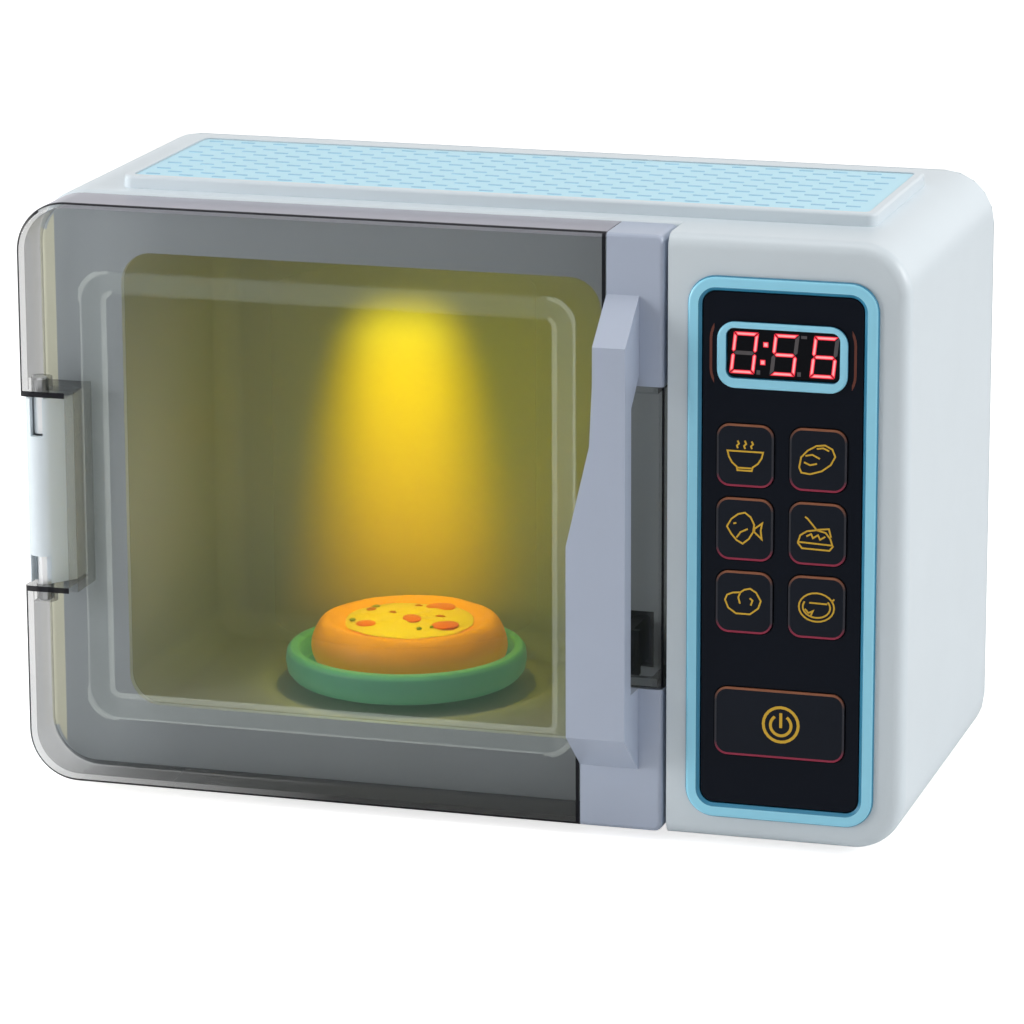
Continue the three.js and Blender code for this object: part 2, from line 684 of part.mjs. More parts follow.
// Housing
function housingBlank() {
  const rightSide = box(
    RECESS_RIGHT, BODY_WIDTH + OVERRUN, -OVERRUN, SHELL_BACK + OVERRUN,
    -OVERRUN, BODY_HEIGHT + OVERRUN,
  );
  const fullDepth = roundedFront(bodyOutline, 0, FRONT_FILLET, SHELL_BACK);
  const recessed = roundedFront(bodyOutline, RECESS_DEPTH, RECESS_FILLET, SHELL_BACK);
  return join(recessed, fullDepth.intersect(rightSide));
}

function housingHollow() {
  const inner = bodyOutline(SHELL_WALL);
  const rightSide = box(
    RECESS_RIGHT + SHELL_WALL, BODY_WIDTH, SHELL_WALL, FASCIA_BACK + OVERRUN,
    0, BODY_HEIGHT,
  );
  const behindPanel = prismY(inner, SHELL_WALL, FASCIA_BACK + OVERRUN);
  return join(
    prismY(inner, FASCIA_BACK, SHELL_BACK + OVERRUN),
    behindPanel.intersect(rightSide),
  );
}

function plateau() {
  const blank = loftZ([
    { height: BODY_HEIGHT - SHELL_WALL / 2, outline: plateauOutline(0) },
    { height: PLATEAU_TOP - PLATEAU_CHAMFER, outline: plateauOutline(0) },
    { height: PLATEAU_TOP, outline: plateauOutline(PLATEAU_CHAMFER) },
  ]);
  const pocket = prismZ(
    plateauOutline(PLATEAU_RIM), POCKET_FLOOR, PLATEAU_TOP + OVERRUN,
  );
  return cut(blank, pocket);
}

function hingeKnuckle() {
  const barrel = rodZ(HINGE_X, HINGE_Y, KNUCKLE_RADIUS, KNUCKLE_BOTTOM, KNUCKLE_TOP);
  const acrossX = KNUCKLE_RIGHT - HINGE_X;
  const acrossY = KNUCKLE_SHOULDER_Y - HINGE_Y;
  const touch = Math.atan2(acrossY, acrossX)
    - Math.acos(KNUCKLE_RADIUS / Math.hypot(acrossX, acrossY));
  const web = polygon([
    [KNUCKLE_LEFT, HINGE_Y],
    [HINGE_X + KNUCKLE_RADIUS * Math.cos(touch), HINGE_Y + KNUCKLE_RADIUS * Math.sin(touch)],
    [KNUCKLE_RIGHT, KNUCKLE_SHOULDER_Y],
    [KNUCKLE_RIGHT, FASCIA_BACK],
    [KNUCKLE_LEFT, FASCIA_BACK],
  ]);
  return join(barrel, prismZ(web, KNUCKLE_BOTTOM, KNUCKLE_TOP));
}

// Open-fronted slots that show the pin at each end of the knuckle
function hingeSlots() {
  return [
    box(
      HINGE_X - UPPER_SLOT_WIDTH / 2, HINGE_X + UPPER_SLOT_WIDTH / 2, -OVERRUN, HINGE_Y,
      KNUCKLE_TOP - UPPER_SLOT_LENGTH, KNUCKLE_TOP + OVERRUN,
    ),
    box(
      HINGE_X - LOWER_SLOT_WIDTH / 2, HINGE_X + LOWER_SLOT_WIDTH / 2, -OVERRUN, HINGE_Y,
      KNUCKLE_BOTTOM - OVERRUN, KNUCKLE_BOTTOM + LOWER_SLOT_LENGTH,
    ),
  ];
}

function hingeBore() {
  return rodZ(
    HINGE_X, HINGE_Y, PIN_RADIUS + GAP, KNUCKLE_BOTTOM - OVERRUN, KNUCKLE_TOP + OVERRUN,
    SMALL_ROD_SIDES,
  );
}

const COVER_SCREW_PLACES = [
  [COVER_SCREW_INSET_X, COVER_SCREW_INSET],
  [COVER_SCREW_RIGHT, COVER_SCREW_INSET],
  [COVER_SCREW_INSET_X, BODY_HEIGHT - COVER_SCREW_INSET],
  [COVER_SCREW_RIGHT, BODY_HEIGHT - COVER_SCREW_INSET],
];

function coverBoss([x, z]) {
  const back = COVER_BOSS_BACK;
  const wallSide = z > BODY_HEIGHT / 2 ? BODY_HEIGHT - SHELL_WALL / 2 : SHELL_WALL / 2;
  const half = COVER_BOSS_RADIUS / 2;
  const web = box(
    x - half, x + half, COVER_BOSS_FRONT, back, Math.min(z, wallSide), Math.max(z, wallSide),
  );
  const bore = rodY(
    x, z, COVER_SCREW_RADIUS + GAP, COVER_BOSS_FRONT + SHELL_WALL, back + OVERRUN,
    SMALL_ROD_SIDES,
  );
  const post = rodY(x, z, COVER_BOSS_RADIUS, COVER_BOSS_FRONT, back, SMALL_ROD_SIDES);
  return cut(join(post, web), bore);
}

const BOARD_SCREW_PLACES = [
  [CONTROL_X - BOARD_SCREW_REACH_X, BOARD_BOTTOM + BOARD_SCREW_INSET],
  [CONTROL_X + BOARD_SCREW_REACH_X, BOARD_BOTTOM + BOARD_SCREW_INSET],
  [CONTROL_X - BOARD_SCREW_REACH_X, BOARD_TOP - BOARD_SCREW_INSET],
  [CONTROL_X + BOARD_SCREW_REACH_X, BOARD_TOP - BOARD_SCREW_INSET],
];

function boardBoss([x, z]) {
  const back = BOARD_FRONT - GAP;
  const front = SHELL_WALL / 2;
  const post = rodY(x, z, BOARD_BOSS_RADIUS, front, back, SMALL_ROD_SIDES);
  const bore = rodY(
    x, z, BOARD_SCREW_RADIUS + GAP, SHELL_WALL, back + OVERRUN, SMALL_ROD_SIDES,
  );
  return { post, bore };
}

const FOOT_PLACES = [
  [FOOT_INSET, FOOT_FRONT],
  [FOOT_RIGHT, FOOT_FRONT],
  [FOOT_INSET, FOOT_BACK],
  [FOOT_RIGHT, FOOT_BACK],
];

function footSocket([x, y]) {
  return rodZ(x, y, FOOT_RADIUS + GAP, -OVERRUN, FOOT_SOCKET);
}

function floorRing(x, y, radius, wall, height) {
  const top = BASE_FLOOR + height;
  return cut(
    rodZ(x, y, radius + GAP + wall, BASE_FLOOR / 2, top),
    rodZ(x, y, radius + GAP, BASE_FLOOR, top + OVERRUN),
  );
}

function chamberRib(x) {
  const half = CHAMBER_RIB_THICKNESS / 2;
  return box(
    x - half, x + half, CHAMBER_RIB_FRONT, CHAMBER_RIB_BACK,
    BASE_FLOOR / 2, LINER_BOTTOM - GAP,
  );
}

function strikerHole(grow) {
  return [
    CATCH_LEFT - STRIKER_WALL - GAP - grow,
    CATCH_LEFT + CATCH_WIDTH + STRIKER_SWING + STRIKER_WALL + grow,
    CATCH_BOTTOM - STRIKER_MARGIN + STRIKER_WALL - grow,
    CATCH_TOP + STRIKER_MARGIN - STRIKER_WALL + grow,
  ];
}

function housingShell() {
  const bosses = BOARD_SCREW_PLACES.map(boardBoss);
  const [slotLeft, slotRight, slotLow, slotHigh] = strikerHole(GAP);
  const controlHole = prismY(bezelOutline(BEZEL_SEAT), -OVERRUN, SHELL_WALL + OVERRUN);
  const chamberHole = prismY(
    chamberOutline(0), RECESS_DEPTH - OVERRUN, FASCIA_BACK + OVERRUN,
  );
  const catchHole = box(
    slotLeft, slotRight, RECESS_DEPTH - OVERRUN, FASCIA_BACK + OVERRUN, slotLow, slotHigh,
  );
  const shape = join(
    cut(housingBlank(), housingHollow()),
    plateau(),
    hingeKnuckle(),
    ...COVER_SCREW_PLACES.map(coverBoss),
    ...bosses.map(({ post }) => post),
    floorRing(MOTOR_X, TABLE_Y, MOTOR_RADIUS, MOTOR_RING, MOTOR_RING_HEIGHT),
    floorRing(TABLE_X, TABLE_Y, BUSH_RADIUS, BUSH_RING, BUSH_RING_HEIGHT),
    chamberRib(CHAMBER_LEFT + CHAMBER_RIB_INSET),
    chamberRib(MOTOR_X + MOTOR_RADIUS + MOTOR_RIB_CLEARANCE),
  );
  return cut(
    shape,
    controlHole,
    chamberHole,
    catchHole,
    hingeBore(),
    ...hingeSlots(),
    ...bosses.map(({ bore }) => bore),
    ...FOOT_PLACES.map(footSocket),
  );
}

function topPanel() {
  const low = POCKET_FLOOR + GAP;
  return prismZ(plateauOutline(PLATEAU_RIM + GAP), low, low + PANEL_THICKNESS);
}

function foot() {
  const top = FOOT_SOCKET - GAP;
  return turned([
    [0, -FOOT_DROP],
    [FOOT_RADIUS - FOOT_CHAMFER, -FOOT_DROP],
    [FOOT_RADIUS, FOOT_CHAMFER - FOOT_DROP],
    [FOOT_RADIUS, top],
    [0, top],
  ]);
}

// Chamber liner
function chamberLiner() {
  const wallFillet = CHAMBER_BACK_FILLET + LINER_WALL;
  const outside = roundedBack(
    (inset) => chamberOutline(LINER_WALL - inset), LINER_FRONT, wallFillet,
    CHAMBER_BACK + LINER_WALL,
  );
  const inside = roundedBack(
    (inset) => chamberOutline(-inset), LINER_FRONT - OVERRUN, CHAMBER_BACK_FILLET,
    CHAMBER_BACK,
  );
  const flange = prismY(
    chamberOutline(LINER_WALL + LINER_FLANGE), LINER_FRONT, LINER_FRONT + LINER_WALL,
  );
  const spindleHole = rodZ(
    TABLE_X, TABLE_Y, SPINDLE_COLLAR_RADIUS + GAP, LINER_BOTTOM - OVERRUN,
    CHAMBER_FLOOR + OVERRUN,
  );
  const lampHole = rodZ(
    TABLE_X, TABLE_Y, LAMP_RADIUS + GAP, CHAMBER_CEILING - OVERRUN, LINER_TOP + OVERRUN,
  );
  return cut(join(outside, flange), inside, spindleHole, lampHole);
}

// Lamp: a lens that hangs through the ceiling and a board with its light above it
function lampLens() {
  const flangeLow = LINER_TOP + GAP;
  const flangeHigh = flangeLow + LAMP_FLANGE_THICKNESS;
  const tip = CHAMBER_CEILING - LAMP_DROP;
  const dome = (radius, bottom) => Array.from({ length: FILLET_STEPS + 1 }, (_, i) => {
    const angle = (QUARTER_TURN * i) / FILLET_STEPS;
    return [
      radius * Math.sin(angle),
      bottom + (CHAMBER_CEILING - tip) * (1 - Math.cos(angle)),
    ];
  });
  const outside = turned([
    ...dome(LAMP_RADIUS, tip),
    [LAMP_RADIUS, flangeLow],
    [LAMP_RADIUS + LAMP_FLANGE, flangeLow],
    [LAMP_RADIUS + LAMP_FLANGE, flangeHigh],
    [0, flangeHigh],
  ], LAMP_SIDES);
  const inside = turned([
    ...dome(LAMP_RADIUS - LAMP_WALL, tip + LAMP_WALL),
    [LAMP_RADIUS - LAMP_WALL, flangeHigh + OVERRUN],
    [0, flangeHigh + OVERRUN],
  ], LAMP_SIDES);
  return cut(outside, inside);
}

function lampBoard() {
  const low = LINER_TOP + GAP + LAMP_FLANGE_THICKNESS + GAP;
  const high = low + BOARD_THICKNESS;
  const board = prismZ(
    centredRect(0, 0, LAMP_BOARD_LENGTH, LAMP_BOARD_WIDTH, LAMP_FLANGE), low, high,
  );
  const light = turned([
    [0, low - LED_LENGTH],
    [LED_RADIUS / 2, low - LED_LENGTH + LED_RADIUS / 4],
    [LED_RADIUS, low - LED_LENGTH + LED_RADIUS],
    [LED_RADIUS, high],
    [0, high],
  ], SMALL_ROD_SIDES);
  return join(board, light);
}

// Turntable drive
function toothPoints(teeth, radiusAt, halfAngleAt, turn) {
  const points = [];
  for (let i = 0; i < teeth; i += 1) {
    const middle = turn + (FULL_TURN * i) / teeth;
    for (const side of [-1, 1]) {
      const order = side < 0 ? radiusAt : [...radiusAt].reverse();
      for (const radius of order) {
        const angle = middle + side * halfAngleAt(radius);
        points.push(
          new THREE.Vector2(radius * Math.cos(angle), radius * Math.sin(angle)),
        );
      }
    }
  }
  return points;
}

// Involute teeth at a pressure angle of 20 degrees, thinned by half the backlash
function gearOutline(teeth, turn) {
  const pressure = Math.PI / 9;
  const pitch = (GEAR_MODULE * teeth) / 2;
  const base = pitch * Math.cos(pressure);
  const root = pitch - GEAR_MODULE - GEAR_TIP_CLEARANCE;
  const tip = pitch + GEAR_MODULE - GEAR_TIP_CLEARANCE;
  const involute = (radius) => {
    const angle = Math.acos(Math.min(1, base / radius));
    return Math.tan(angle) - angle;
  };
  const pitchHalf = Math.PI / (2 * teeth) - GEAR_BACKLASH / (2 * pitch);
  const halfAngleAt = (radius) => pitchHalf + involute(pitch) - involute(radius);
  return toothPoints(teeth, [root, pitch, tip], halfAngleAt, turn);
}

function turntableGear() {
  const bore = rodZ(0, 0, SPINDLE_RADIUS + GAP, -OVERRUN, GEAR_THICKNESS + OVERRUN);
  return cut(prismZ(gearOutline(GEAR_TEETH, 0), 0, GEAR_THICKNESS), bore);
}

function motorPinion() {
  const height = GEAR_THICKNESS + 2 * PINION_OVERLAP;
  const bore = rodZ(
    0, 0, MOTOR_SHAFT_RADIUS + GAP, -OVERRUN, height + OVERRUN, SMALL_ROD_SIDES,
  );
  return cut(prismZ(gearOutline(PINION_TEETH, Math.PI / PINION_TEETH), 0, height), bore);
}

function turntableMotor() {
  const low = BASE_FLOOR + GAP;
  const canTop = low + MOTOR_HEIGHT;
  const shaftTop = GEAR_BOTTOM + GEAR_THICKNESS + PINION_OVERLAP;
  const edge = MOTOR_SHAFT_RADIUS / 2;
  return turned([
    [0, low],
    [MOTOR_RADIUS - edge, low],
    [MOTOR_RADIUS, low + edge],
    [MOTOR_RADIUS, canTop - edge],
    [MOTOR_RADIUS - edge, canTop],
    [MOTOR_SHAFT_RADIUS, canTop],
    [MOTOR_SHAFT_RADIUS, shaftTop],
    [0, shaftTop],
  ]);
}

function spindleBush() {
  const low = BASE_FLOOR + GAP;
  const bore = rodZ(
    0, 0, SPINDLE_RADIUS + GAP, low + SHELL_WALL / 2, low + BUSH_HEIGHT + OVERRUN,
  );
  return cut(rodZ(0, 0, BUSH_RADIUS, low, low + BUSH_HEIGHT), bore);
}

function turntableSpindle() {
  const foot = BASE_FLOOR + GAP + SHELL_WALL / 2 + GAP;
  const collarLow = BASE_FLOOR + GAP + BUSH_HEIGHT + GAP;
  const collarHigh = GEAR_BOTTOM - GAP;
  const gearTop = GEAR_BOTTOM + GEAR_THICKNESS + GAP;
  const headLow = CHAMBER_FLOOR + GAP;
  const shaft = turned([
    [0, foot],
    [SPINDLE_RADIUS, foot],
    [SPINDLE_RADIUS, collarLow],
    [SPINDLE_COLLAR_RADIUS, collarLow],
    [SPINDLE_COLLAR_RADIUS, collarHigh],
    [SPINDLE_RADIUS, collarHigh],
    [SPINDLE_RADIUS, gearTop],
    [SPINDLE_COLLAR_RADIUS, gearTop],
    [SPINDLE_COLLAR_RADIUS, headLow],
    [0, headLow],
  ], SMALL_ROD_SIDES);
  const head = rodZ(
    0, 0, SPINDLE_HEAD_RADIUS, headLow - GAP / 2, headLow + SPINDLE_HEAD_HEIGHT,
    SPINDLE_HEAD_SIDES,
  );
  return join(shaft, head);
}

function turntablePlate() {
  const outlineShares = [
    [0.86, 0],
    [0.94, 0.1],
    [0.985, 0.3],
    [1, 0.6],
    [0.993, 0.88],
    [0.965, 1],
  ];
  const edge = outlineShares.map(([out, up]) => [
    PLATE_RADIUS * out,
    PLATE_BOTTOM + PLATE_HEIGHT * up,
  ]);
  const blank = turned([
    [0, PLATE_BOTTOM],
    ...edge,
    [PLATE_WELL_RADIUS + PLATE_LIP / 3, PLATE_TOP],
    [PLATE_WELL_RADIUS, PLATE_WELL],
    [0, PLATE_WELL],
  ], DISC_SIDES);
  const socketTop = CHAMBER_FLOOR + GAP + SPINDLE_HEAD_HEIGHT + GAP;
  const socket = rodZ(
    0, 0, SPINDLE_HEAD_RADIUS + GAP / Math.cos(Math.PI / SPINDLE_HEAD_SIDES),
    PLATE_BOTTOM - OVERRUN, socketTop, SPINDLE_HEAD_SIDES,
  );
  return cut(blank, socket);
}

// Toy pizza
function pizzaCrust() {
  const crustShares = [
    [0.86, 0],
    [0.96, 0.12],
    [1, 0.38],
    [0.98, 0.66],
    [0.91, 0.9],
    [0.84, 1],
    [0.76, 0.94],
  ];
  const side = crustShares.map(([out, up]) => [
    CRUST_RADIUS * out,
    CRUST_BOTTOM + CRUST_HEIGHT * up,
  ]);
  const wellFloor = CRUST_BOTTOM + CRUST_HEIGHT - CRUST_WELL_DEPTH;
  return turned([
    [0, CRUST_BOTTOM],
    ...side,
    [CRUST_WELL_RADIUS, wellFloor],
    [0, wellFloor],
  ], DISC_SIDES);
}

function pizzaTopping() {
  const low = CRUST_BOTTOM + CRUST_HEIGHT - CRUST_WELL_DEPTH + GAP;
  const radius = CRUST_WELL_RADIUS - GAP;
  const crownShares = [
    [1, 0.2],
    [0.9, 0.7],
    [0.6, 0.95],
  ];
  return turned([
    [0, low],
    [radius, low],
    ...crownShares.map(([out, up]) => [radius * out, low + TOPPING_CROWN * up]),
    [0, low + TOPPING_CROWN],
  ]);
}

// Door
function doorOutline(inset) {
  const left = BODY_CORNER - inset;
  const right = DOOR_RIGHT_CORNER - inset;
  return roundedRect(
    inset, DOOR_BOTTOM + inset, DOOR_RIGHT - inset, DOOR_TOP - inset,
    [right, right, left, left],
  );
}

function doorInside(inset, front) {
  const left = BODY_CORNER - inset;
  return prismY(
    roundedRect(
      inset, DOOR_BOTTOM + inset, DOOR_RIGHT - inset, DOOR_TOP - inset,
      [DOOR_INNER_CORNER, DOOR_INNER_CORNER, left, left],
    ),
    front,
    DOOR_DEPTH + OVERRUN,
  );
}

function windowOutline(inset) {
  return roundedRect(
    WINDOW_LEFT + inset, WINDOW_BOTTOM + inset, WINDOW_RIGHT - inset, WINDOW_TOP - inset,
    WINDOW_CORNER - inset,
  );
}

// A part of the door's corner that a handle pad takes, grown by a margin
function padZone(which, grow) {
  const beyond = DOOR_RIGHT + OVERRUN;
  if (which === "upper") {
    return box(
      UPPER_PAD_LEFT - grow, beyond, -OVERRUN, DOOR_DEPTH + OVERRUN,
      UPPER_PAD_BOTTOM - grow, DOOR_TOP + OVERRUN,
    );
  }
  return box(
    LOWER_PAD_LEFT - grow, beyond, -OVERRUN, DOOR_DEPTH + OVERRUN,
    DOOR_BOTTOM - OVERRUN, LOWER_PAD_TOP + grow,
  );
}

// Inside the outer skin that the handle pads form, by depth from the door's surfaces
function doorCore(depth) {
  return box(
    -OVERRUN, DOOR_RIGHT - depth, depth, DOOR_DEPTH + 2 * OVERRUN,
    DOOR_BOTTOM + depth, DOOR_TOP - depth,
  );
}

const PAD_NAMES = ["upper", "lower"];
const PAD_SEAT = PAD_THICKNESS + GAP;

function padLining(which, blank) {
  const zone = blank.intersect(padZone(which, GAP + DOOR_WALL));
  return cut(zone, doorCore(PAD_SEAT + DOOR_WALL));
}

function padRebate(which) {
  return cut(padZone(which, GAP), doorCore(PAD_SEAT));
}

function windowBack() {
  const front = DOOR_FACE / 2;
  return loftY([
    { y: front, outline: windowOutline(-DOOR_WALL) },
    { y: DOOR_FACE, outline: windowOutline(-DOOR_WALL) },
    { y: DOOR_FACE + WINDOW_DEPTH, outline: windowOutline(WINDOW_BORDER - DOOR_WALL) },
  ]);
}

function windowFront() {
  const slope = WINDOW_BORDER / WINDOW_DEPTH;
  return loftY([
    { y: -OVERRUN, outline: windowOutline(-OVERRUN * slope) },
    { y: WINDOW_DEPTH, outline: windowOutline(WINDOW_BORDER) },
  ]);
}

function handleScrewPlaces() {
  return [
    [HANDLE_SCREW_X, UPPER_SCREW_HEIGHT],
    [HANDLE_SCREW_X, LOWER_SCREW_HEIGHT],
  ];
}

// Where the leaf swings past the recess wall, the back edge at the hinge side is chamfered
function hingeSideChamfer() {
  return prismZ(
    polygon([
      [-OVERRUN, DOOR_DEPTH - DOOR_BACK_CHAMFER],
      [0, DOOR_DEPTH - DOOR_BACK_CHAMFER],
      [DOOR_BACK_CHAMFER_WIDTH, DOOR_DEPTH],
      [DOOR_BACK_CHAMFER_WIDTH, DOOR_DEPTH + OVERRUN],
      [-OVERRUN, DOOR_DEPTH + OVERRUN],
    ]),
    DOOR_BOTTOM - OVERRUN,
    DOOR_TOP + OVERRUN,
  );
}

function hingeNotchWalls(blank) {
  const outer = box(
    -OVERRUN, NOTCH_RIGHT + DOOR_WALL, -OVERRUN, DOOR_DEPTH + OVERRUN,
    NOTCH_BOTTOM - EAR_THICKNESS, NOTCH_TOP + EAR_THICKNESS,
  );
  return blank.intersect(outer);
}

function hingeNotch() {
  return box(
    -OVERRUN, NOTCH_RIGHT, -OVERRUN, DOOR_DEPTH + OVERRUN, NOTCH_BOTTOM, NOTCH_TOP,
  );
}

// Sockets for the two hinge pins, above and below the notch
function pinSockets() {
  return [
    rodZ(HINGE_X, HINGE_Y, DOOR_BOSS_RADIUS, NOTCH_BOTTOM - PIN_SOCKET, NOTCH_BOTTOM),
    rodZ(HINGE_X, HINGE_Y, DOOR_BOSS_RADIUS, NOTCH_TOP, NOTCH_TOP + PIN_SOCKET),
  ];
}

function doorPinHoles() {
  const radius = PIN_RADIUS + GAP;
  return [
    rodZ(
      HINGE_X, HINGE_Y, radius, NOTCH_TOP - OVERRUN, NOTCH_TOP + PIN_SOCKET + OVERRUN,
      SMALL_ROD_SIDES,
    ),
    rodZ(
      HINGE_X, HINGE_Y, radius, NOTCH_BOTTOM - PIN_SOCKET - OVERRUN,
      NOTCH_BOTTOM + OVERRUN, SMALL_ROD_SIDES,
    ),
  ];
}

function doorPanel() {
  const blank = roundedFront(doorOutline, 0, DOOR_FILLET, DOOR_DEPTH);
  const tray = cut(blank, doorInside(DOOR_WALL, DOOR_FACE));
  const body = join(
    tray,
    ...PAD_NAMES.map((which) => padLining(which, blank)),
    hingeNotchWalls(blank),
    windowBack(),
  );
  const opened = cut(
    body,
    ...PAD_NAMES.map(padRebate),
    windowFront(),
    hingeNotch(),
    hingeSideChamfer(),
  );
  const screwHoles = handleScrewPlaces().map(([x, z]) =>
    rodY(
      x, z, HANDLE_SCREW_RADIUS + GAP, 0, PAD_SEAT + DOOR_WALL + OVERRUN, SMALL_ROD_SIDES,
    ),
  );
  return cut(join(opened, ...pinSockets()), ...doorPinHoles(), ...screwHoles);
}

// Handle
function gripSides() {
  const back = GRIP_THICKNESS - GRIP_FRONT;
  const insidePad = PAD_THICKNESS / 2;
  return prismX(
    polygon([
      [insidePad, GRIP_ROOT_BOTTOM],
      [0, GRIP_ROOT_BOTTOM],
      [-GRIP_FRONT, GRIP_SHOULDER_BOTTOM],
      [-GRIP_FRONT, GRIP_SHOULDER_TOP],
      [0, GRIP_ROOT_TOP],
      [insidePad, GRIP_ROOT_TOP],
      [insidePad, GRIP_THROAT_TOP],
      [0, GRIP_THROAT_TOP],
      [back, GRIP_INSIDE_TOP],
      [back, GRIP_THROAT_BOTTOM],
      [insidePad, GRIP_THROAT_BOTTOM - GAP],
    ].reverse()),
    GRIP_LOWER_LEFT - OVERRUN,
    GRIP_RIGHT + OVERRUN,
  );
}

function gripFace(inset) {
  return polygon([
    [GRIP_LOWER_LEFT + inset, GRIP_ROOT_BOTTOM - OVERRUN],
    [GRIP_RIGHT - inset, GRIP_ROOT_BOTTOM - OVERRUN],
    [GRIP_RIGHT - inset, GRIP_ROOT_TOP + OVERRUN],
    [UPPER_PAD_LEFT + inset, GRIP_ROOT_TOP + OVERRUN],
    [UPPER_PAD_LEFT + inset, GRIP_THROAT_TOP],
    [GRIP_JOG_LEFT + inset, GRIP_JOG_TOP],
    [GRIP_LOWER_LEFT + inset, GRIP_JOG_BOTTOM],
  ]);
}

function grip() {
  const face = join(
    prismY(gripFace(0), GRIP_CHAMFER - GRIP_FRONT, PAD_THICKNESS),
    prismY(gripFace(GRIP_CHAMFER), -GRIP_FRONT, PAD_THICKNESS),
  );
  return face.intersect(gripSides());
}

function doorHandle() {
  const blank = roundedFront(doorOutline, 0, DOOR_FILLET, DOOR_DEPTH);
  const skin = cut(blank, doorCore(PAD_THICKNESS));
  const pads = PAD_NAMES.map((which) => skin.intersect(padZone(which, 0)));
  const screwBores = handleScrewPlaces().map(([x, z]) =>
    rodY(
      x, z, HANDLE_SCREW_RADIUS + GAP, PAD_SEAT + DOOR_WALL - HANDLE_SCREW_LENGTH,
      PAD_THICKNESS + OVERRUN, SMALL_ROD_SIDES,
    ),
  );
  return cut(join(...pads, grip()), ...screwBores);
}

// A pan head screw that points to the front, with its head's seat at y 0
function screw(radius, length, headRadius, headHeight) {
  const edge = headHeight / 3;
  return turned([
    [0, -length],
    [radius / 2, -length],
    [radius, radius - length],
    [radius, 0],
    [headRadius, 0],
    [headRadius, headHeight - edge],
    [headRadius - edge, headHeight],
    [0, headHeight],
  ], SCREW_SIDES).rotate([-90, 0, 0]);
}

function hingePin(low, high) {
  return turned([
    [0, low],
    [PIN_RADIUS - PIN_CHAMFER, low],
    [PIN_RADIUS, low + PIN_CHAMFER],
    [PIN_RADIUS, high - PIN_CHAMFER],
    [PIN_RADIUS - PIN_CHAMFER, high],
    [0, high],
  ], SMALL_ROD_SIDES);
}

// Catch: a tongue whose base is glued to the back of the door's face
function doorCatch() {
  const base = DOOR_FACE + GAP;
  const right = CATCH_LEFT + CATCH_WIDTH;
  const seatLeft = CATCH_LEFT - CATCH_BASE_MARGIN;
  const seatRight = right + CATCH_BASE_MARGIN;
  return prismZ(
    polygon([
      [seatLeft, base],
      [seatRight, base],
      [seatRight, base + CATCH_BASE],
      [right, base + CATCH_BASE],
      [right, CATCH_BACK - CATCH_NOSE],
      [right - CATCH_NOSE, CATCH_BACK],
      [CATCH_LEFT + CATCH_NOSE, CATCH_BACK],
      [CATCH_LEFT, CATCH_BACK - CATCH_NOSE],
      [CATCH_LEFT, base + CATCH_BASE],
      [seatLeft, base + CATCH_BASE],
    ]),
    CATCH_BOTTOM,
    CATCH_TOP,
  );
}

// A sleeve in the recess wall, with a flange behind the wall and a pointed mouth on its front
function catchStriker() {
  const [left, right, low, high] = strikerHole(0);
  const front = RECESS_DEPTH + GAP;
  const back = FASCIA_BACK + STRIKER_LENGTH;
  const flangeFront = FASCIA_BACK + GAP;
  const [flangeLeft, flangeRight, flangeLow, flangeHigh] = strikerHole(STRIKER_WALL);
  const sleeve = box(left, right, front, back, low, high);
  const flange = box(
    flangeLeft, flangeRight, flangeFront, flangeFront + STRIKER_WALL, flangeLow, flangeHigh,
  );
  const mouth = box(
    CATCH_LEFT - GAP, CATCH_LEFT + CATCH_WIDTH + STRIKER_SWING, front - OVERRUN,
    back + OVERRUN, low + STRIKER_WALL, high - STRIKER_WALL,
  );
  return cut(join(sleeve, flange), mouth);
}

// Controls
function controlBezel() {
  const flangeBack = -GAP;
  const flangeFront = flangeBack - BEZEL_RISE;
  const ring = roundedFront(bezelOutline, flangeFront, BEZEL_EDGE, flangeBack, 2);
  const skirt = prismY(bezelOutline(BEZEL_SEAT + GAP), flangeBack - BEZEL_RISE / 2, BEZEL_BACK);
  const opening = prismY(bezelOutline(BEZEL_BAND), flangeFront - OVERRUN, BEZEL_LEDGE_FRONT);
  const ledge = prismY(
    bezelOutline(BEZEL_BAND + BEZEL_LEDGE), flangeFront - OVERRUN, BEZEL_BACK + OVERRUN,
  );
  return cut(join(ring, skirt), opening, ledge);
}

const KEY_COLUMNS = [CONTROL_X - KEY_PITCH_X / 2, CONTROL_X + KEY_PITCH_X / 2];
const KEY_ROWS = Array.from(
  { length: KEY_ROW_COUNT }, (_, i) => KEY_TOP_ROW - i * KEY_PITCH_Z,
);
const FOOD_KEYS = ["soup", "bread", "fish", "roast", "potato", "pie"];

function keyPlaces() {
  const small = FOOD_KEYS.map((name, i) => ({
    name: `key_${name}`,
    x: KEY_COLUMNS[i % KEY_COLUMNS.length],
    z: KEY_ROWS[Math.floor(i / KEY_COLUMNS.length)],
    width: KEY_WIDTH,
    height: KEY_HEIGHT,
  }));
  const wide = {
    name: "key_power",
    x: CONTROL_X,
    z: POWER_KEY_CENTRE,
    width: POWER_KEY_WIDTH,
    height: POWER_KEY_HEIGHT,
  };
  return [...small, wide];
}

function displayOutline(inset) {
  return centredRect(
    CONTROL_X, DISPLAY_HEIGHT, DISPLAY_RING_WIDTH - 2 * inset,
    DISPLAY_RING_HEIGHT - 2 * inset, DISPLAY_RING_CORNER - inset, FILLET_STEPS,
  );
}

const DISPLAY_HOLE_INSET = DISPLAY_RING_BAND - DISPLAY_RING_WALL - GAP;

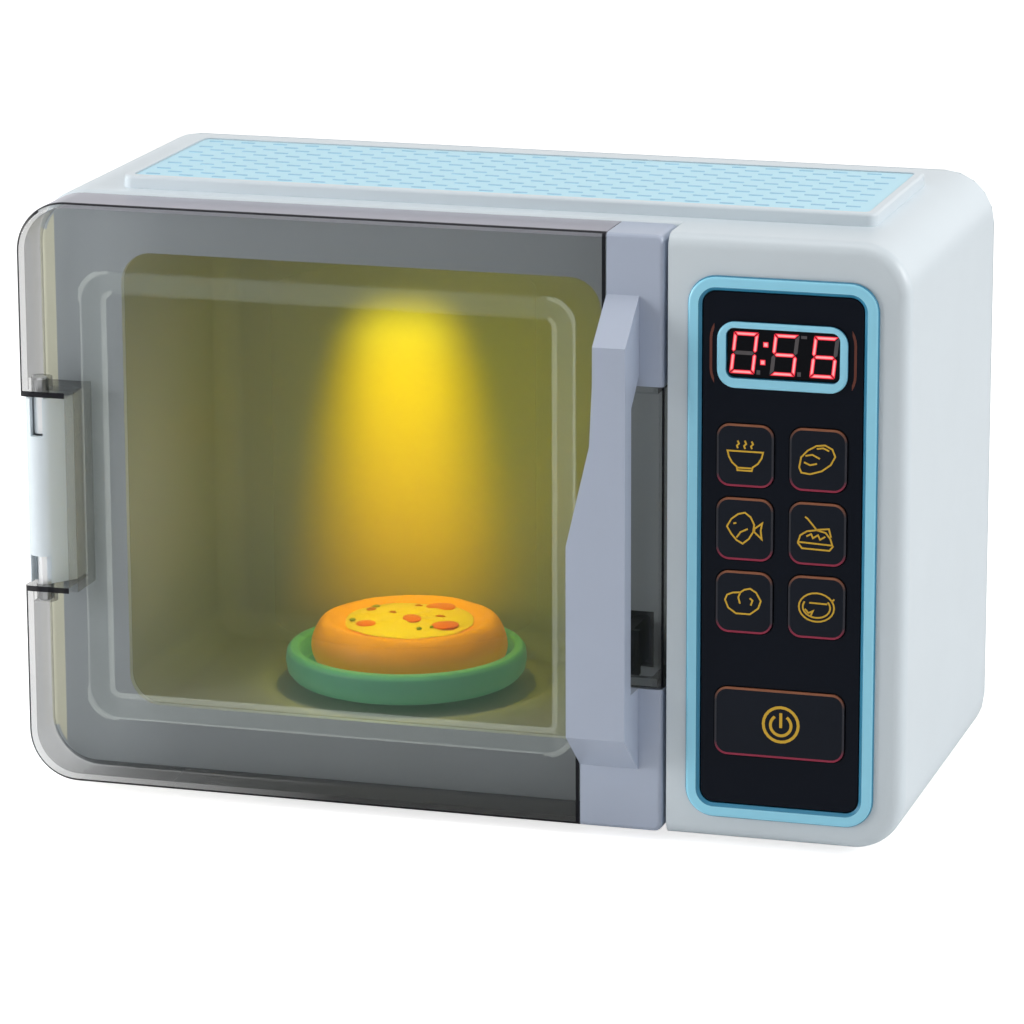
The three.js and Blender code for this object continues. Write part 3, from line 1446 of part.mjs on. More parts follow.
function controlPanel() {
  const back = CONTROL_PANEL_FRONT + CONTROL_PANEL_THICKNESS;
  const plate = prismY(bezelOutline(BEZEL_BAND + GAP), CONTROL_PANEL_FRONT, back);
  const grow = 2 * KEY_HOLE_CLEARANCE;
  const keyHoles = keyPlaces().map(({ x, z, width, height }) =>
    prismY(
      centredRect(
        x, z, width + grow, height + grow, KEY_CORNER + KEY_HOLE_CLEARANCE, FILLET_STEPS,
      ),
      CONTROL_PANEL_FRONT - OVERRUN, back + OVERRUN,
    ),
  );
  const displayHole = prismY(
    displayOutline(DISPLAY_HOLE_INSET), CONTROL_PANEL_FRONT - OVERRUN, back + OVERRUN,
  );
  return cut(plate, ...keyHoles, displayHole);
}

// A key about its own middle, drawn back from its front face
function key(width, height) {
  const flangeBack = KEY_FLANGE_FRONT + KEY_FLANGE_THICKNESS;
  const face = (inset) => centredRect(
    0, 0, width - 2 * inset, height - 2 * inset, KEY_CORNER - inset, FILLET_STEPS,
  );
  const cap = roundedFront(
    face, KEY_FRONT, KEY_ROUNDING, KEY_FLANGE_FRONT + KEY_FLANGE_THICKNESS / 2, 2,
  );
  const flange = prismY(face(-KEY_FLANGE), KEY_FLANGE_FRONT, flangeBack);
  const half = KEY_STEM / 2;
  const stem = box(-half, half, flangeBack - KEY_FLANGE_THICKNESS / 2, KEY_STEM_BACK, -half, half);
  return join(cap, flange, stem);
}

function displayBezel() {
  const flangeBack = CONTROL_PANEL_FRONT - GAP;
  const flangeFront = flangeBack - DISPLAY_RING_RISE;
  const flange = roundedFront(
    displayOutline, flangeFront, DISPLAY_RING_RISE / 2, flangeBack, 2,
  );
  const skirt = prismY(
    displayOutline(DISPLAY_HOLE_INSET + GAP), flangeBack - DISPLAY_RING_RISE / 2,
    CONTROL_PANEL_FRONT + CONTROL_PANEL_THICKNESS,
  );
  const opening = prismY(
    displayOutline(DISPLAY_RING_BAND), flangeFront - OVERRUN,
    CONTROL_PANEL_FRONT + CONTROL_PANEL_THICKNESS + OVERRUN,
  );
  return cut(join(flange, skirt), opening);
}

const PANE_FRONT = CONTROL_PANEL_FRONT - GAP - DISPLAY_RING_RISE + WINDOW_PANE_SINK;
const PANE_BACK = PANE_FRONT + WINDOW_PANE_THICKNESS;

function displayWindow() {
  return prismY(displayOutline(DISPLAY_RING_BAND + GAP), PANE_FRONT, PANE_BACK);
}

function displayModule() {
  const front = PANE_BACK + GAP;
  const back = BOARD_FRONT - GAP;
  const chip = prismY(displayOutline(DISPLAY_RING_BAND + 2 * GAP), front, back);
  const carrier = prismY(displayOutline(0), BEZEL_BACK, back);
  return join(chip, carrier);
}

function keyMat() {
  const base = MAT_BACK - MAT_THICKNESS;
  const edge = KEY_FLANGE;
  const left = KEY_COLUMNS[0] - KEY_WIDTH / 2 - edge;
  const right = KEY_COLUMNS[1] + KEY_WIDTH / 2 + edge;
  const low = POWER_KEY_CENTRE - POWER_KEY_HEIGHT / 2 - edge;
  const high = KEY_TOP_ROW + KEY_HEIGHT / 2 + edge;
  const sheet = prismY(
    roundedRect(left, low, right, high, KEY_CORNER, FILLET_STEPS), base, MAT_BACK,
  );
  const half = MAT_DOME_SIZE / 2;
  const domes = keyPlaces().map(({ x, z }) =>
    box(x - half, x + half, MAT_FRONT, MAT_BACK, z - half, z + half),
  );
  return join(sheet, ...domes);
}

function mainBoard() {
  const middle = (BOARD_BOTTOM + BOARD_TOP) / 2;
  const plate = prismY(
    centredRect(CONTROL_X, middle, BOARD_WIDTH, BOARD_TOP - BOARD_BOTTOM, BOARD_THICKNESS),
    BOARD_FRONT, BOARD_BACK,
  );
  const holes = BOARD_SCREW_PLACES.map(([x, z]) =>
    rodY(
      x, z, BOARD_SCREW_RADIUS + GAP, BOARD_FRONT - OVERRUN, BOARD_BACK + OVERRUN,
      SMALL_ROD_SIDES,
    ),
  );
  return cut(plate, ...holes);
}

// Rear cover
function coverWell([x, z]) {
  const back = COVER_FRONT + COVER_THICKNESS / 2;
  return rodY(x, z, WELL_RADIUS, WELL_FLOOR_FRONT, back, SMALL_ROD_SIDES);
}

function coverWellBore([x, z]) {
  const shank = rodY(
    x, z, COVER_SCREW_RADIUS + GAP, WELL_FLOOR_FRONT - OVERRUN, COVER_BACK + OVERRUN,
    SMALL_ROD_SIDES,
  );
  const head = rodY(
    x, z, WELL_BORE, WELL_FLOOR_FRONT + WELL_FLOOR, COVER_BACK + OVERRUN,
    SMALL_ROD_SIDES,
  );
  return join(shank, head);
}

function bayOutline(grow, tongue) {
  const half = BAY_WIDTH / 2 + grow;
  return roundedRect(
    CONTROL_X - half, BAY_BOTTOM - grow, CONTROL_X + half, BAY_TOP + grow + tongue,
    BAY_CORNER + grow / 2, 2,
  );
}

function bayShell() {
  const walls = prismY(
    bayOutline(BAY_WALL, 0), BAY_FLOOR - BAY_WALL, COVER_FRONT + COVER_THICKNESS / 2,
  );
  const seat = prismY(
    bayOutline(BAY_LEDGE + 2 * GAP + BAY_WALL, BAY_DOOR_TONGUE), BAY_LEDGE_FACE - BAY_WALL,
    COVER_FRONT + COVER_THICKNESS / 2,
  );
  const boss = rodY(
    CONTROL_X, BAY_SCREW_Z, BAY_BOSS_RADIUS, BAY_LEDGE_FACE - BAY_BOSS_LENGTH,
    BAY_LEDGE_FACE, SMALL_ROD_SIDES,
  );
  return join(walls, seat, boss);
}

function bayHollow() {
  const cells = prismY(bayOutline(0, 0), BAY_FLOOR, COVER_BACK + OVERRUN);
  const rebate = prismY(
    bayOutline(BAY_LEDGE + GAP, BAY_DOOR_TONGUE), BAY_LEDGE_FACE, COVER_BACK + OVERRUN,
  );
  const bore = rodY(
    CONTROL_X, BAY_SCREW_Z, BAY_SCREW_RADIUS + GAP, BAY_LEDGE_FACE - BAY_SCREW_LENGTH - GAP,
    BAY_LEDGE_FACE + OVERRUN, SMALL_ROD_SIDES,
  );
  return join(cells, rebate, bore);
}

function ventSlot(i) {
  const low = VENT_BOTTOM + i * VENT_PITCH;
  return prismY(
    roundedRect(VENT_LEFT, low, VENT_RIGHT, low + VENT_WIDTH, VENT_WIDTH / 2, 2),
    COVER_FRONT - OVERRUN, COVER_BACK + OVERRUN,
  );
}

function speakerSlot(i) {
  const offset = (i - (SPEAKER_SLOT_COUNT - 1) / 2) * SPEAKER_SLOT_PITCH;
  const reach = Math.sqrt(SPEAKER_RADIUS ** 2 - offset ** 2) - SPEAKER_SLOT_WIDTH;
  const z = SPEAKER_Z + offset;
  const half = SPEAKER_SLOT_WIDTH / 2;
  return prismY(
    roundedRect(SPEAKER_X - reach, z - half, SPEAKER_X + reach, z + half, half, 2),
    COVER_FRONT - OVERRUN, COVER_BACK + OVERRUN,
  );
}

function speakerRing() {
  const front = COVER_FRONT - SPEAKER_DEPTH;
  const back = COVER_FRONT + COVER_THICKNESS / 2;
  return cut(
    rodY(SPEAKER_X, SPEAKER_Z, SPEAKER_RADIUS + GAP + SPEAKER_RING, front, back),
    rodY(SPEAKER_X, SPEAKER_Z, SPEAKER_RADIUS + GAP, front - OVERRUN, COVER_FRONT),
  );
}

function linerStop(height) {
  const half = LINER_STOP_WIDTH / 2;
  return box(
    TABLE_X - half, TABLE_X + half, CHAMBER_BACK + LINER_WALL + GAP,
    COVER_FRONT + COVER_THICKNESS / 2, height, height + LINER_STOP_THICKNESS,
  );
}

function coverRim() {
  const inset = SHELL_WALL + GAP;
  const front = COVER_FRONT - COVER_RIM;
  return cut(
    prismY(bodyOutline(inset), front, COVER_FRONT + COVER_THICKNESS / 2),
    prismY(bodyOutline(inset + COVER_RIM_WALL), front - OVERRUN, COVER_FRONT),
  );
}

function rearCover() {
  const plate = roundedBack(bodyOutline, COVER_FRONT, COVER_FILLET, COVER_BACK, 2);
  const shape = join(
    plate,
    coverRim(),
    ...COVER_SCREW_PLACES.map(coverWell),
    bayShell(),
    speakerRing(),
    linerStop(CHAMBER_FLOOR + LINER_STOP_RISE),
    linerStop(CHAMBER_CEILING - LINER_STOP_DROP),
  );
  const vents = Array.from({ length: VENT_COUNT }, (_, i) => ventSlot(i));
  const speakerSlots = Array.from({ length: SPEAKER_SLOT_COUNT }, (_, i) => speakerSlot(i));
  return cut(
    shape,
    ...COVER_SCREW_PLACES.map(coverWellBore),
    bayHollow(),
    ...vents,
    ...speakerSlots,
  );
}

function speaker() {
  const back = COVER_FRONT - GAP;
  const front = COVER_FRONT - SPEAKER_DEPTH + GAP;
  return join(
    rodY(SPEAKER_X, SPEAKER_Z, SPEAKER_RADIUS, front, back),
    rodY(
      SPEAKER_X, SPEAKER_Z, SPEAKER_MAGNET_RADIUS, front - SPEAKER_MAGNET_DEPTH,
      front + SPEAKER_MAGNET_DEPTH,
    ),
  );
}

function batteryDoor() {
  const front = BAY_LEDGE_FACE + GAP;
  const plate = prismY(
    bayOutline(BAY_LEDGE, BAY_DOOR_TONGUE), front, front + BAY_DOOR_THICKNESS,
  );
  const hole = rodY(
    CONTROL_X, BAY_SCREW_Z, BAY_SCREW_RADIUS + GAP, front - OVERRUN,
    front + BAY_DOOR_THICKNESS + OVERRUN, SMALL_ROD_SIDES,
  );
  const sink = rodY(
    CONTROL_X, BAY_SCREW_Z, BAY_SCREW_HEAD_RADIUS + GAP,
    front + BAY_DOOR_THICKNESS - BAY_SCREW_HEAD, front + BAY_DOOR_THICKNESS + OVERRUN,
  );
  return cut(plate, hole, sink);
}

const CELL_Y = BAY_LEDGE_FACE - GAP - CELL_RADIUS;

function cell() {
  const shoulder = CELL_LENGTH - CELL_NUB;
  const edge = CELL_NUB / 2;
  return turned([
    [0, 0],
    [CELL_RADIUS - edge, 0],
    [CELL_RADIUS, edge],
    [CELL_RADIUS, shoulder - edge],
    [CELL_RADIUS - edge, shoulder],
    [CELL_NUB_RADIUS, shoulder],
    [CELL_NUB_RADIUS, CELL_LENGTH],
    [0, CELL_LENGTH],
  ], CELL_SIDES);
}

// A contact plate with one raised boss for each cell, on the side that faces the cells
function contactPlate() {
  const half = BAY_WIDTH / 2 - GAP;
  const halfDepth = CELL_RADIUS - GAP;
  const plate = box(-half, half, -halfDepth, halfDepth, 0, CONTACT_THICKNESS);
  const bosses = cellPlaces().map((x) =>
    rodZ(
      x - CONTROL_X, 0, CONTACT_NUB_RADIUS, CONTACT_THICKNESS / 2,
      CONTACT_THICKNESS + CONTACT_NUB, SMALL_ROD_SIDES,
    ),
  );
  return join(plate, ...bosses);
}

function cellPlaces() {
  const first = CONTROL_X - ((CELL_COUNT - 1) * CELL_PITCH) / 2;
  return Array.from({ length: CELL_COUNT }, (_, i) => first + i * CELL_PITCH);
}

// Assembly
function at(mesh, x, y, z) {
  mesh.position.set(x, y, z);
  return mesh;
}

function group(...meshes) {
  const made = new THREE.Group();
  made.add(...meshes);
  return made;
}

function housingGroup() {
  const feet = FOOT_PLACES.map(([x, y], i) =>
    at(piece(`foot_${i + 1}`, foot(), RUBBER), x, y, 0),
  );
  return group(
    piece("housing_shell", housingShell(), WHITE_PLASTIC),
    piece("top_panel", topPanel(), BLUE_PLASTIC),
    piece("chamber_liner", chamberLiner(), LINER_PLASTIC),
    piece("catch_striker", catchStriker(), DARK_PLASTIC),
    ...feet,
  );
}

function lampGroup() {
  const lamp = group(
    piece("lamp_lens", lampLens(), LENS_PLASTIC),
    piece("lamp_board", lampBoard(), BOARD_GREEN),
  );
  lamp.position.set(TABLE_X, TABLE_Y, 0);
  return lamp;
}

function driveGroup() {
  const spinning = group(
    at(piece("turntable_gear", turntableGear(), NYLON), 0, 0, GEAR_BOTTOM),
    piece("turntable_spindle", turntableSpindle(), NYLON),
    piece("spindle_bush", spindleBush(), DARK_PLASTIC),
    piece("turntable_plate", turntablePlate(), GREEN_PLASTIC),
    at(piece("pizza_crust", pizzaCrust(), CRUST_PLASTIC), PIZZA_SHIFT, 0, 0),
    at(piece("pizza_topping", pizzaTopping(), TOPPING_PLASTIC), PIZZA_SHIFT, 0, 0),
  );
  spinning.position.set(TABLE_X, TABLE_Y, 0);
  const motor = group(
    piece("turntable_motor", turntableMotor(), MOTOR_STEEL),
    at(piece("motor_pinion", motorPinion(), NYLON), 0, 0, GEAR_BOTTOM - PINION_OVERLAP),
  );
  motor.position.set(MOTOR_X, TABLE_Y, 0);
  return group(spinning, motor);
}

function doorGroup() {
  const screwSeat = PAD_SEAT + DOOR_WALL + GAP;
  const screws = handleScrewPlaces().map(([x, z], i) => {
    const shape = screw(
      HANDLE_SCREW_RADIUS, HANDLE_SCREW_LENGTH, HANDLE_SCREW_HEAD_RADIUS, HANDLE_SCREW_HEAD,
    );
    return at(piece(`handle_screw_${PAD_NAMES[i]}`, shape, SCREW_STEEL), x, screwSeat, z);
  });
  const upperPin = hingePin(KNUCKLE_TOP - PIN_GRIP, NOTCH_TOP + PIN_SOCKET);
  const lowerPin = hingePin(NOTCH_BOTTOM - PIN_SOCKET, KNUCKLE_BOTTOM + PIN_GRIP);
  return group(
    piece("door_panel", doorPanel(), SMOKY_PLASTIC),
    piece("door_handle", doorHandle(), GREY_PLASTIC),
    piece("door_catch", doorCatch(), DARK_PLASTIC),
    at(piece("hinge_pin_upper", upperPin, SCREW_STEEL), HINGE_X, HINGE_Y, 0),
    at(piece("hinge_pin_lower", lowerPin, SCREW_STEEL), HINGE_X, HINGE_Y, 0),
    ...screws,
  );
}

function controlGroup() {
  const keys = keyPlaces().map(({ name, x, z, width, height }) =>
    at(piece(name, key(width, height), BLACK_PANEL), x, 0, z),
  );
  const screws = BOARD_SCREW_PLACES.map(([x, z], i) => {
    const shape = screw(
      BOARD_SCREW_RADIUS, BOARD_SCREW_LENGTH, BOARD_SCREW_HEAD_RADIUS, BOARD_SCREW_HEAD,
    );
    return at(piece(`board_screw_${i + 1}`, shape, SCREW_STEEL), x, BOARD_BACK + GAP, z);
  });
  return group(
    piece("control_bezel", controlBezel(), BLUE_PLASTIC),
    piece("control_panel", controlPanel(), BLACK_PANEL),
    piece("display_bezel", displayBezel(), BLUE_PLASTIC),
    piece("display_window", displayWindow(), BLACK_PANEL),
    piece("display_module", displayModule(), DARK_PLASTIC),
    piece("key_mat", keyMat(), RUBBER),
    piece("main_board", mainBoard(), BOARD_GREEN),
    ...keys,
    ...screws,
  );
}

function batteryGroup() {
  const lowContact = at(
    piece("battery_contact_lower", contactPlate(), CONTACT_STEEL),
    CONTROL_X, CELL_Y, BAY_BOTTOM + GAP,
  );
  const highContact = at(
    piece("battery_contact_upper", contactPlate(), CONTACT_STEEL),
    CONTROL_X, CELL_Y, BAY_TOP - GAP,
  );
  highContact.rotation.y = Math.PI;
  const cellLow = BAY_BOTTOM + 2 * GAP + CONTACT_THICKNESS + CONTACT_NUB;
  const cells = cellPlaces().map((x, i) =>
    at(piece(`battery_${i + 1}`, cell(), CELL_SLEEVE), x, CELL_Y, cellLow),
  );
  const doorFace = BAY_LEDGE_FACE + GAP + BAY_DOOR_THICKNESS - BAY_SCREW_HEAD;
  const screwShape = screw(
    BAY_SCREW_RADIUS, BAY_SCREW_LENGTH, BAY_SCREW_HEAD_RADIUS, BAY_SCREW_HEAD - GAP,
  );
  return group(
    lowContact,
    highContact,
    ...cells,
    piece("battery_door", batteryDoor(), WHITE_PLASTIC),
    at(
      piece("battery_door_screw", screwShape, SCREW_STEEL),
      CONTROL_X, doorFace + GAP, BAY_SCREW_Z,
    ),
  );
}

function rearGroup() {
  const seat = WELL_FLOOR_FRONT + WELL_FLOOR + GAP;
  const screws = COVER_SCREW_PLACES.map(([x, z], i) => {
    const shape = screw(
      COVER_SCREW_RADIUS, COVER_SCREW_LENGTH, COVER_SCREW_HEAD_RADIUS, COVER_SCREW_HEAD,
    );
    return at(piece(`rear_cover_screw_${i + 1}`, shape, SCREW_STEEL), x, seat, z);
  });
  return group(
    piece("rear_cover", rearCover(), WHITE_PLASTIC),
    piece("speaker", speaker(), DARK_PLASTIC),
    ...screws,
    batteryGroup(),
  );
}

const works = group(
  housingGroup(), lampGroup(), driveGroup(), doorGroup(), controlGroup(), rearGroup(),
);
works.position.set(-BODY_WIDTH / 2, -WHOLE_MIDDLE_Y, FOOT_DROP);

const microwave = new THREE.Group();
microwave.add(works);

export default microwave;
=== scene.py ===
# %% [markdown]
# A toy microwave, dressed for its photograph.
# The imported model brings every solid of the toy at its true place. This lesson goes over it
# piece by piece, makes the pieces that are seen at close range again with finer edges and
# prints, and gives each of the others its own finish.

import json
import math

import bpy
from mathutils import Matrix, Vector

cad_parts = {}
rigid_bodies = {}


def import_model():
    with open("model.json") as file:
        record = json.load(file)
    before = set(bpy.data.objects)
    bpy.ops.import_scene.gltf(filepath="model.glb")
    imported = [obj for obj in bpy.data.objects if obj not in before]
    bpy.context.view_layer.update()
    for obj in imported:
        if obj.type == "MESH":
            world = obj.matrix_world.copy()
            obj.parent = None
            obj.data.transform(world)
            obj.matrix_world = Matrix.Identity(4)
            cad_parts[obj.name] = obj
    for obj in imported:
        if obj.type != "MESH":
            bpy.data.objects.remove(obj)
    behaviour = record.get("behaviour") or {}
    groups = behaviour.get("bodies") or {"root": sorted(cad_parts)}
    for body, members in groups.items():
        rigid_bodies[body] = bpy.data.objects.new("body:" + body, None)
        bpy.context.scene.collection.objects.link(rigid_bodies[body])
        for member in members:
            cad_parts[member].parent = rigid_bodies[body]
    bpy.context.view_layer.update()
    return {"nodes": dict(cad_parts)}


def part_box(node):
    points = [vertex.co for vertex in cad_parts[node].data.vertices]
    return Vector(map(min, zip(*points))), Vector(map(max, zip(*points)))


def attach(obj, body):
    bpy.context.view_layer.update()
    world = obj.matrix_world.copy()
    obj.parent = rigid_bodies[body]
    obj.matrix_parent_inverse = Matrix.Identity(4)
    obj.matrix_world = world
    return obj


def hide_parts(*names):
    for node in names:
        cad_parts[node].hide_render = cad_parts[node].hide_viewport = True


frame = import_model()

# %% [markdown]
# A designer of such a toy counts from one corner of the body. The same is done here: x runs
# right from the body's left side, y runs back from the front plane and z runs up from the
# underside, all in millimetres. One function turns such a place into Blender's metres.

# %% Places in millimetres
MM = 0.001
X, Y, Z = 0, 1, 2
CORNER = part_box("housing_shell")[0]


def spot(x, y, z):
    return CORNER + Vector((x, y, z)) * MM


def in_mm(point):
    return (point - CORNER) / MM


print("body corner:", [round(value, 4) for value in CORNER])

# %% [markdown]
# Every operator of Blender works on what is selected, so each step first selects the one
# object it is meant for. Three helpers do that for the whole lesson: they take a piece, open
# its mesh for editing, and close it again.


# %% Taking and editing
def take(piece):
    if bpy.context.mode != "OBJECT":
        bpy.ops.object.mode_set(mode="OBJECT")
    bpy.ops.object.select_all(action="DESELECT")
    if piece is not None:
        piece.select_set(True)
        bpy.context.view_layer.objects.active = piece


def edit(piece, action="SELECT"):
    take(piece)
    bpy.ops.object.mode_set(mode="EDIT")
    bpy.ops.mesh.select_all(action=action)


def done():
    bpy.ops.object.mode_set(mode="OBJECT")


take(None)
print("selected objects:", len(bpy.context.selected_objects))

# %% [markdown]
# Every piece starts as a block or a rod of the right size at the right place. Place and size
# are then put into the mesh, so a finished piece has its own origin at the scene's origin.


# %% Blocks and rods
def settle(name):
    piece = bpy.context.object
    piece.name = piece.data.name = name
    take(piece)
    bpy.ops.object.transform_apply(location=True, rotation=True, scale=True)
    return piece


def block(name, left, right, front, back, low, high):
    near, far = spot(left, front, low), spot(right, back, high)
    take(None)
    bpy.ops.mesh.primitive_cube_add(size=1, location=(near + far) / 2)
    bpy.context.object.scale = far - near
    return settle(name)


LIE_ALONG = {Y: (math.radians(90), 0, 0), Z: (0, 0, 0)}


def rod(name, axis, centre, radius, length, sides=48):
    take(None)
    bpy.ops.mesh.primitive_cylinder_add(
        vertices=sides, radius=radius * MM, depth=length * MM, location=spot(*centre),
        rotation=LIE_ALONG[axis],
    )
    return settle(name)


print("directions for rods:", len(LIE_ALONG))

# %% [markdown]
# Edges are picked in code by where they lie. The helper selects the sharp edges that pass a
# test, and the bevel operator rounds them. Two tests serve most pieces: edges that run along
# an axis, and edges that lie at one height of it.


# %% Rounding edges
SHARP = math.radians(25)
NEAR = 0.02


def round_edges(piece, test, width, segments, sharpness=SHARP):
    edit(piece, "DESELECT")
    bpy.ops.mesh.select_mode(type="EDGE")
    bpy.ops.mesh.edges_select_sharp(sharpness=sharpness)
    done()
    places = [in_mm(vertex.co) for vertex in piece.data.vertices]
    picked = [
        edge.index for edge in piece.data.edges
        if edge.select and test(*(places[end] for end in edge.vertices))
    ]
    edit(piece, "DESELECT")
    done()
    for index in picked:
        piece.data.edges[index].select = True
    bpy.ops.object.mode_set(mode="EDIT")
    bpy.ops.mesh.bevel(offset=width * MM, segments=segments, profile=0.5, affect="EDGES")
    done()


def along(axis):
    return lambda start, end: abs((end - start)[axis]) > 0.9 * (end - start).length


def level(axis, height):
    return lambda start, end: max(abs(start[axis] - height), abs(end[axis] - height)) < NEAR


print("edges count as sharp from", round(math.degrees(SHARP)), "degrees")

# %% [markdown]
# A moulded slab is a block whose four edges from front to back are rounded. Its area is written
# as left, right, low, high, corner radius and steps in each corner, and it can be made larger or
# smaller all round for a hole or a wall.

# %% Slabs
CORNER_STEPS = 14


def slab(name, area, front, back, grow=0):
    left, right, low, high, radius, steps = area
    piece = block(name, left - grow, right + grow, front, back, low - grow, high + grow)
    round_edges(piece, along(Y), radius + grow, steps)
    return piece


def around(x, z, width, height, *corner):
    return x - width / 2, x + width / 2, z - height / 2, z + height / 2, *corner


print("steps in a round corner:", CORNER_STEPS)

# %% [markdown]
# Openings, wells and joined lumps come from the Boolean modifier, which is applied at once, so
# the tool can be thrown away. A finished piece then gets a fine bevel on whatever edge is still
# sharp, because no moulded edge is, and weighted normals keep its flats flat.


# %% Joining and cutting
def apply(piece, kind, **settings):
    take(piece)
    step = piece.modifiers.new(kind.lower(), kind)
    for key, value in settings.items():
        setattr(step, key, value)
    bpy.ops.object.modifier_apply(modifier=step.name)


def combine(piece, operation, *tools):
    for tool in tools:
        apply(piece, "BOOLEAN", operation=operation, solver="EXACT", object=tool)
        bpy.data.objects.remove(tool)


def cut(piece, *tools):
    combine(piece, "DIFFERENCE", *tools)


def join(piece, *tools):
    combine(piece, "UNION", *tools)


def clean(piece):
    edit(piece)
    bpy.ops.mesh.remove_doubles(threshold=0.002 * MM)
    bpy.ops.mesh.dissolve_limited(angle_limit=math.radians(0.5))
    bpy.ops.mesh.normals_make_consistent(inside=False)
    done()


print("meshes so far:", len(bpy.data.meshes))


# %% Softening and merging
def smooth(piece, angle=32):
    take(piece)
    bpy.ops.object.shade_smooth_by_angle(angle=math.radians(angle))


def soften(piece, width, segments=2, angle=35):
    limit = math.radians(angle)
    apply(piece, "BEVEL", limit_method="ANGLE", angle_limit=limit, width=width * MM,
          segments=segments)
    smooth(piece, 50)
    apply(piece, "WEIGHTED_NORMAL", keep_sharp=True)


def merge(name, pieces):
    take(pieces[0])
    for piece in pieces:
        piece.select_set(True)
    bpy.ops.object.join()
    return settle(name)


# %% [markdown]
# An outline is drawn as a modeller would: one point is put down and pushed from place to place,
# which leaves a line behind it. A closed line is filled with a face, and a face that is pushed
# along the third direction becomes a solid.


# %% Drawing outlines
def place_on(axis, first, second, height):
    place = [first, second]
    place.insert(axis, height)
    return spot(*place)


def line(name, points):
    take(None)
    bpy.ops.mesh.primitive_plane_add(size=MM, location=points[0])
    piece = settle(name)
    edit(piece)
    bpy.ops.mesh.select_mode(type="VERT")
    bpy.ops.mesh.merge(type="CENTER")
    for start, end in zip(points, points[1:]):
        bpy.ops.mesh.extrude_region_move(TRANSFORM_OT_translate={"value": end - start})
    done()
    return piece


def pushed(piece, axis, reach):
    step = Vector((0, 0, 0))
    step[axis] = reach * MM
    edit(piece)
    bpy.ops.mesh.extrude_region_move(TRANSFORM_OT_translate={"value": step})
    bpy.ops.mesh.select_all(action="SELECT")
    bpy.ops.mesh.normals_make_consistent(inside=False)
    done()
    return piece


def prism(name, points, axis, height, reach):
    corners = [place_on(axis, *point, height) for point in points]
    piece = line(name, [*corners, corners[0]])
    edit(piece)
    bpy.ops.mesh.remove_doubles(threshold=0.001 * MM)
    bpy.ops.mesh.edge_face_add()
    done()
    return pushed(piece, axis, reach)


print("a place on the front plane:", [round(value, 4) for value in place_on(Y, 10, 20, 0)])

# %% [markdown]
# Faces are picked by place too. A face that is made smaller and pushed in at once gets a
# sloping border, and a plane can split a mesh where one finish is to give way to another.


# %% Insets and splits
def inset_face(piece, height, width, depth, **settings):
    edit(piece, "DESELECT")
    bpy.ops.mesh.select_mode(type="FACE")
    done()
    for face in piece.data.polygons:
        at_height = abs(in_mm(face.center).y - height) < NEAR / 2
        face.select = at_height and abs(face.normal.y) > 0.99
    bpy.ops.object.mode_set(mode="EDIT")
    bpy.ops.mesh.inset(thickness=width * MM, depth=depth * MM, **settings)
    done()


def split(piece, axis, *heights):
    across = Vector((0, 0, 0))
    across[axis] = 1
    edit(piece)
    for height in heights:
        bpy.ops.mesh.select_all(action="SELECT")
        bpy.ops.mesh.bisect(plane_co=place_on(axis, 0, 0, height), plane_no=across)
    done()


print("faces are found to", NEAR / 2, "mm")

# %% [markdown]
# A finished piece is given its name and finish, rides on the body it moves with, and hides the
# solids of the imported model that it stands for.


# %% Fitting a piece to the toy
def fit(piece, name, finish, body, slot, *nodes):
    piece.name = name
    piece.data.materials.clear()
    piece.data.materials.append(finish)
    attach(piece, body)
    if nodes:
        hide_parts(*nodes)
    print(f"{name}: {len(piece.data.polygons)} faces on {body}")


def finish_faces(piece, finish, test):
    piece.data.materials.append(finish)
    last = len(piece.data.materials) - 1
    count = 0
    for face in piece.data.polygons:
        if test(in_mm(face.center), face.normal):
            face.material_index = last
            count += 1
    print(f"{piece.name}: {count} faces in {finish.name}")


# %% [markdown]
# Finishes.
# Moulded plastic is never quite even: the pigment has faint clouds, the gloss wanders, and
# under a lens the surface has a fine grain. One node group holds these three effects, so each
# material only chooses its own amounts. The group puts out a colour, a roughness and a height.


# %% Nodes
def feed(tree, target, feeds):
    for socket, value in feeds.items():
        if isinstance(value, bpy.types.NodeSocket):
            tree.links.new(value, target.inputs[socket])
        else:
            target.inputs[socket].default_value = value


def node(tree, kind, feeds=None, **settings):
    made = tree.nodes.new("ShaderNode" + kind)
    for key, value in settings.items():
        setattr(made, key, value)
    feed(tree, made, feeds or {})
    return made


def calc(tree, operation, *values):
    return node(tree, "Math", dict(enumerate(values)), operation=operation).outputs[0]


def stretched(tree, value, low, high, new_low, new_high, **settings):
    feeds = {"Value": value, "From Min": low, "From Max": high, "To Min": new_low,
             "To Max": new_high}
    return node(tree, "MapRange", feeds, **settings).outputs["Result"]


def noise(tree, place, scale, detail):
    feeds = {"Vector": place, "Scale": scale, "Detail": detail}
    return node(tree, "TexNoise", feeds).outputs["Fac"]


def own_place(tree):
    return node(tree, "TexCoord").outputs["Object"]


def split_place(tree, place):
    return node(tree, "SeparateXYZ", {"Vector": place}).outputs


print("types of node in Blender:", sum(kind.startswith("ShaderNode") for kind in dir(bpy.types)))

# %% Node groups
COLOUR, NUMBER = "NodeSocketColor", "NodeSocketFloat"


def new_group(name, inputs, outputs):
    group = bpy.data.node_groups.new(name, "ShaderNodeTree")
    for label, value in inputs.items():
        kind = COLOUR if isinstance(value, tuple) else NUMBER
        socket = group.interface.new_socket(label, in_out="INPUT", socket_type=kind)
        socket.default_value = value
    for label, kind in outputs.items():
        group.interface.new_socket(label, in_out="OUTPUT", socket_type=kind)
    return group, group.nodes.new("NodeGroupInput").outputs, group.nodes.new("NodeGroupOutput")


print("kinds of socket in the groups:", COLOUR, NUMBER)


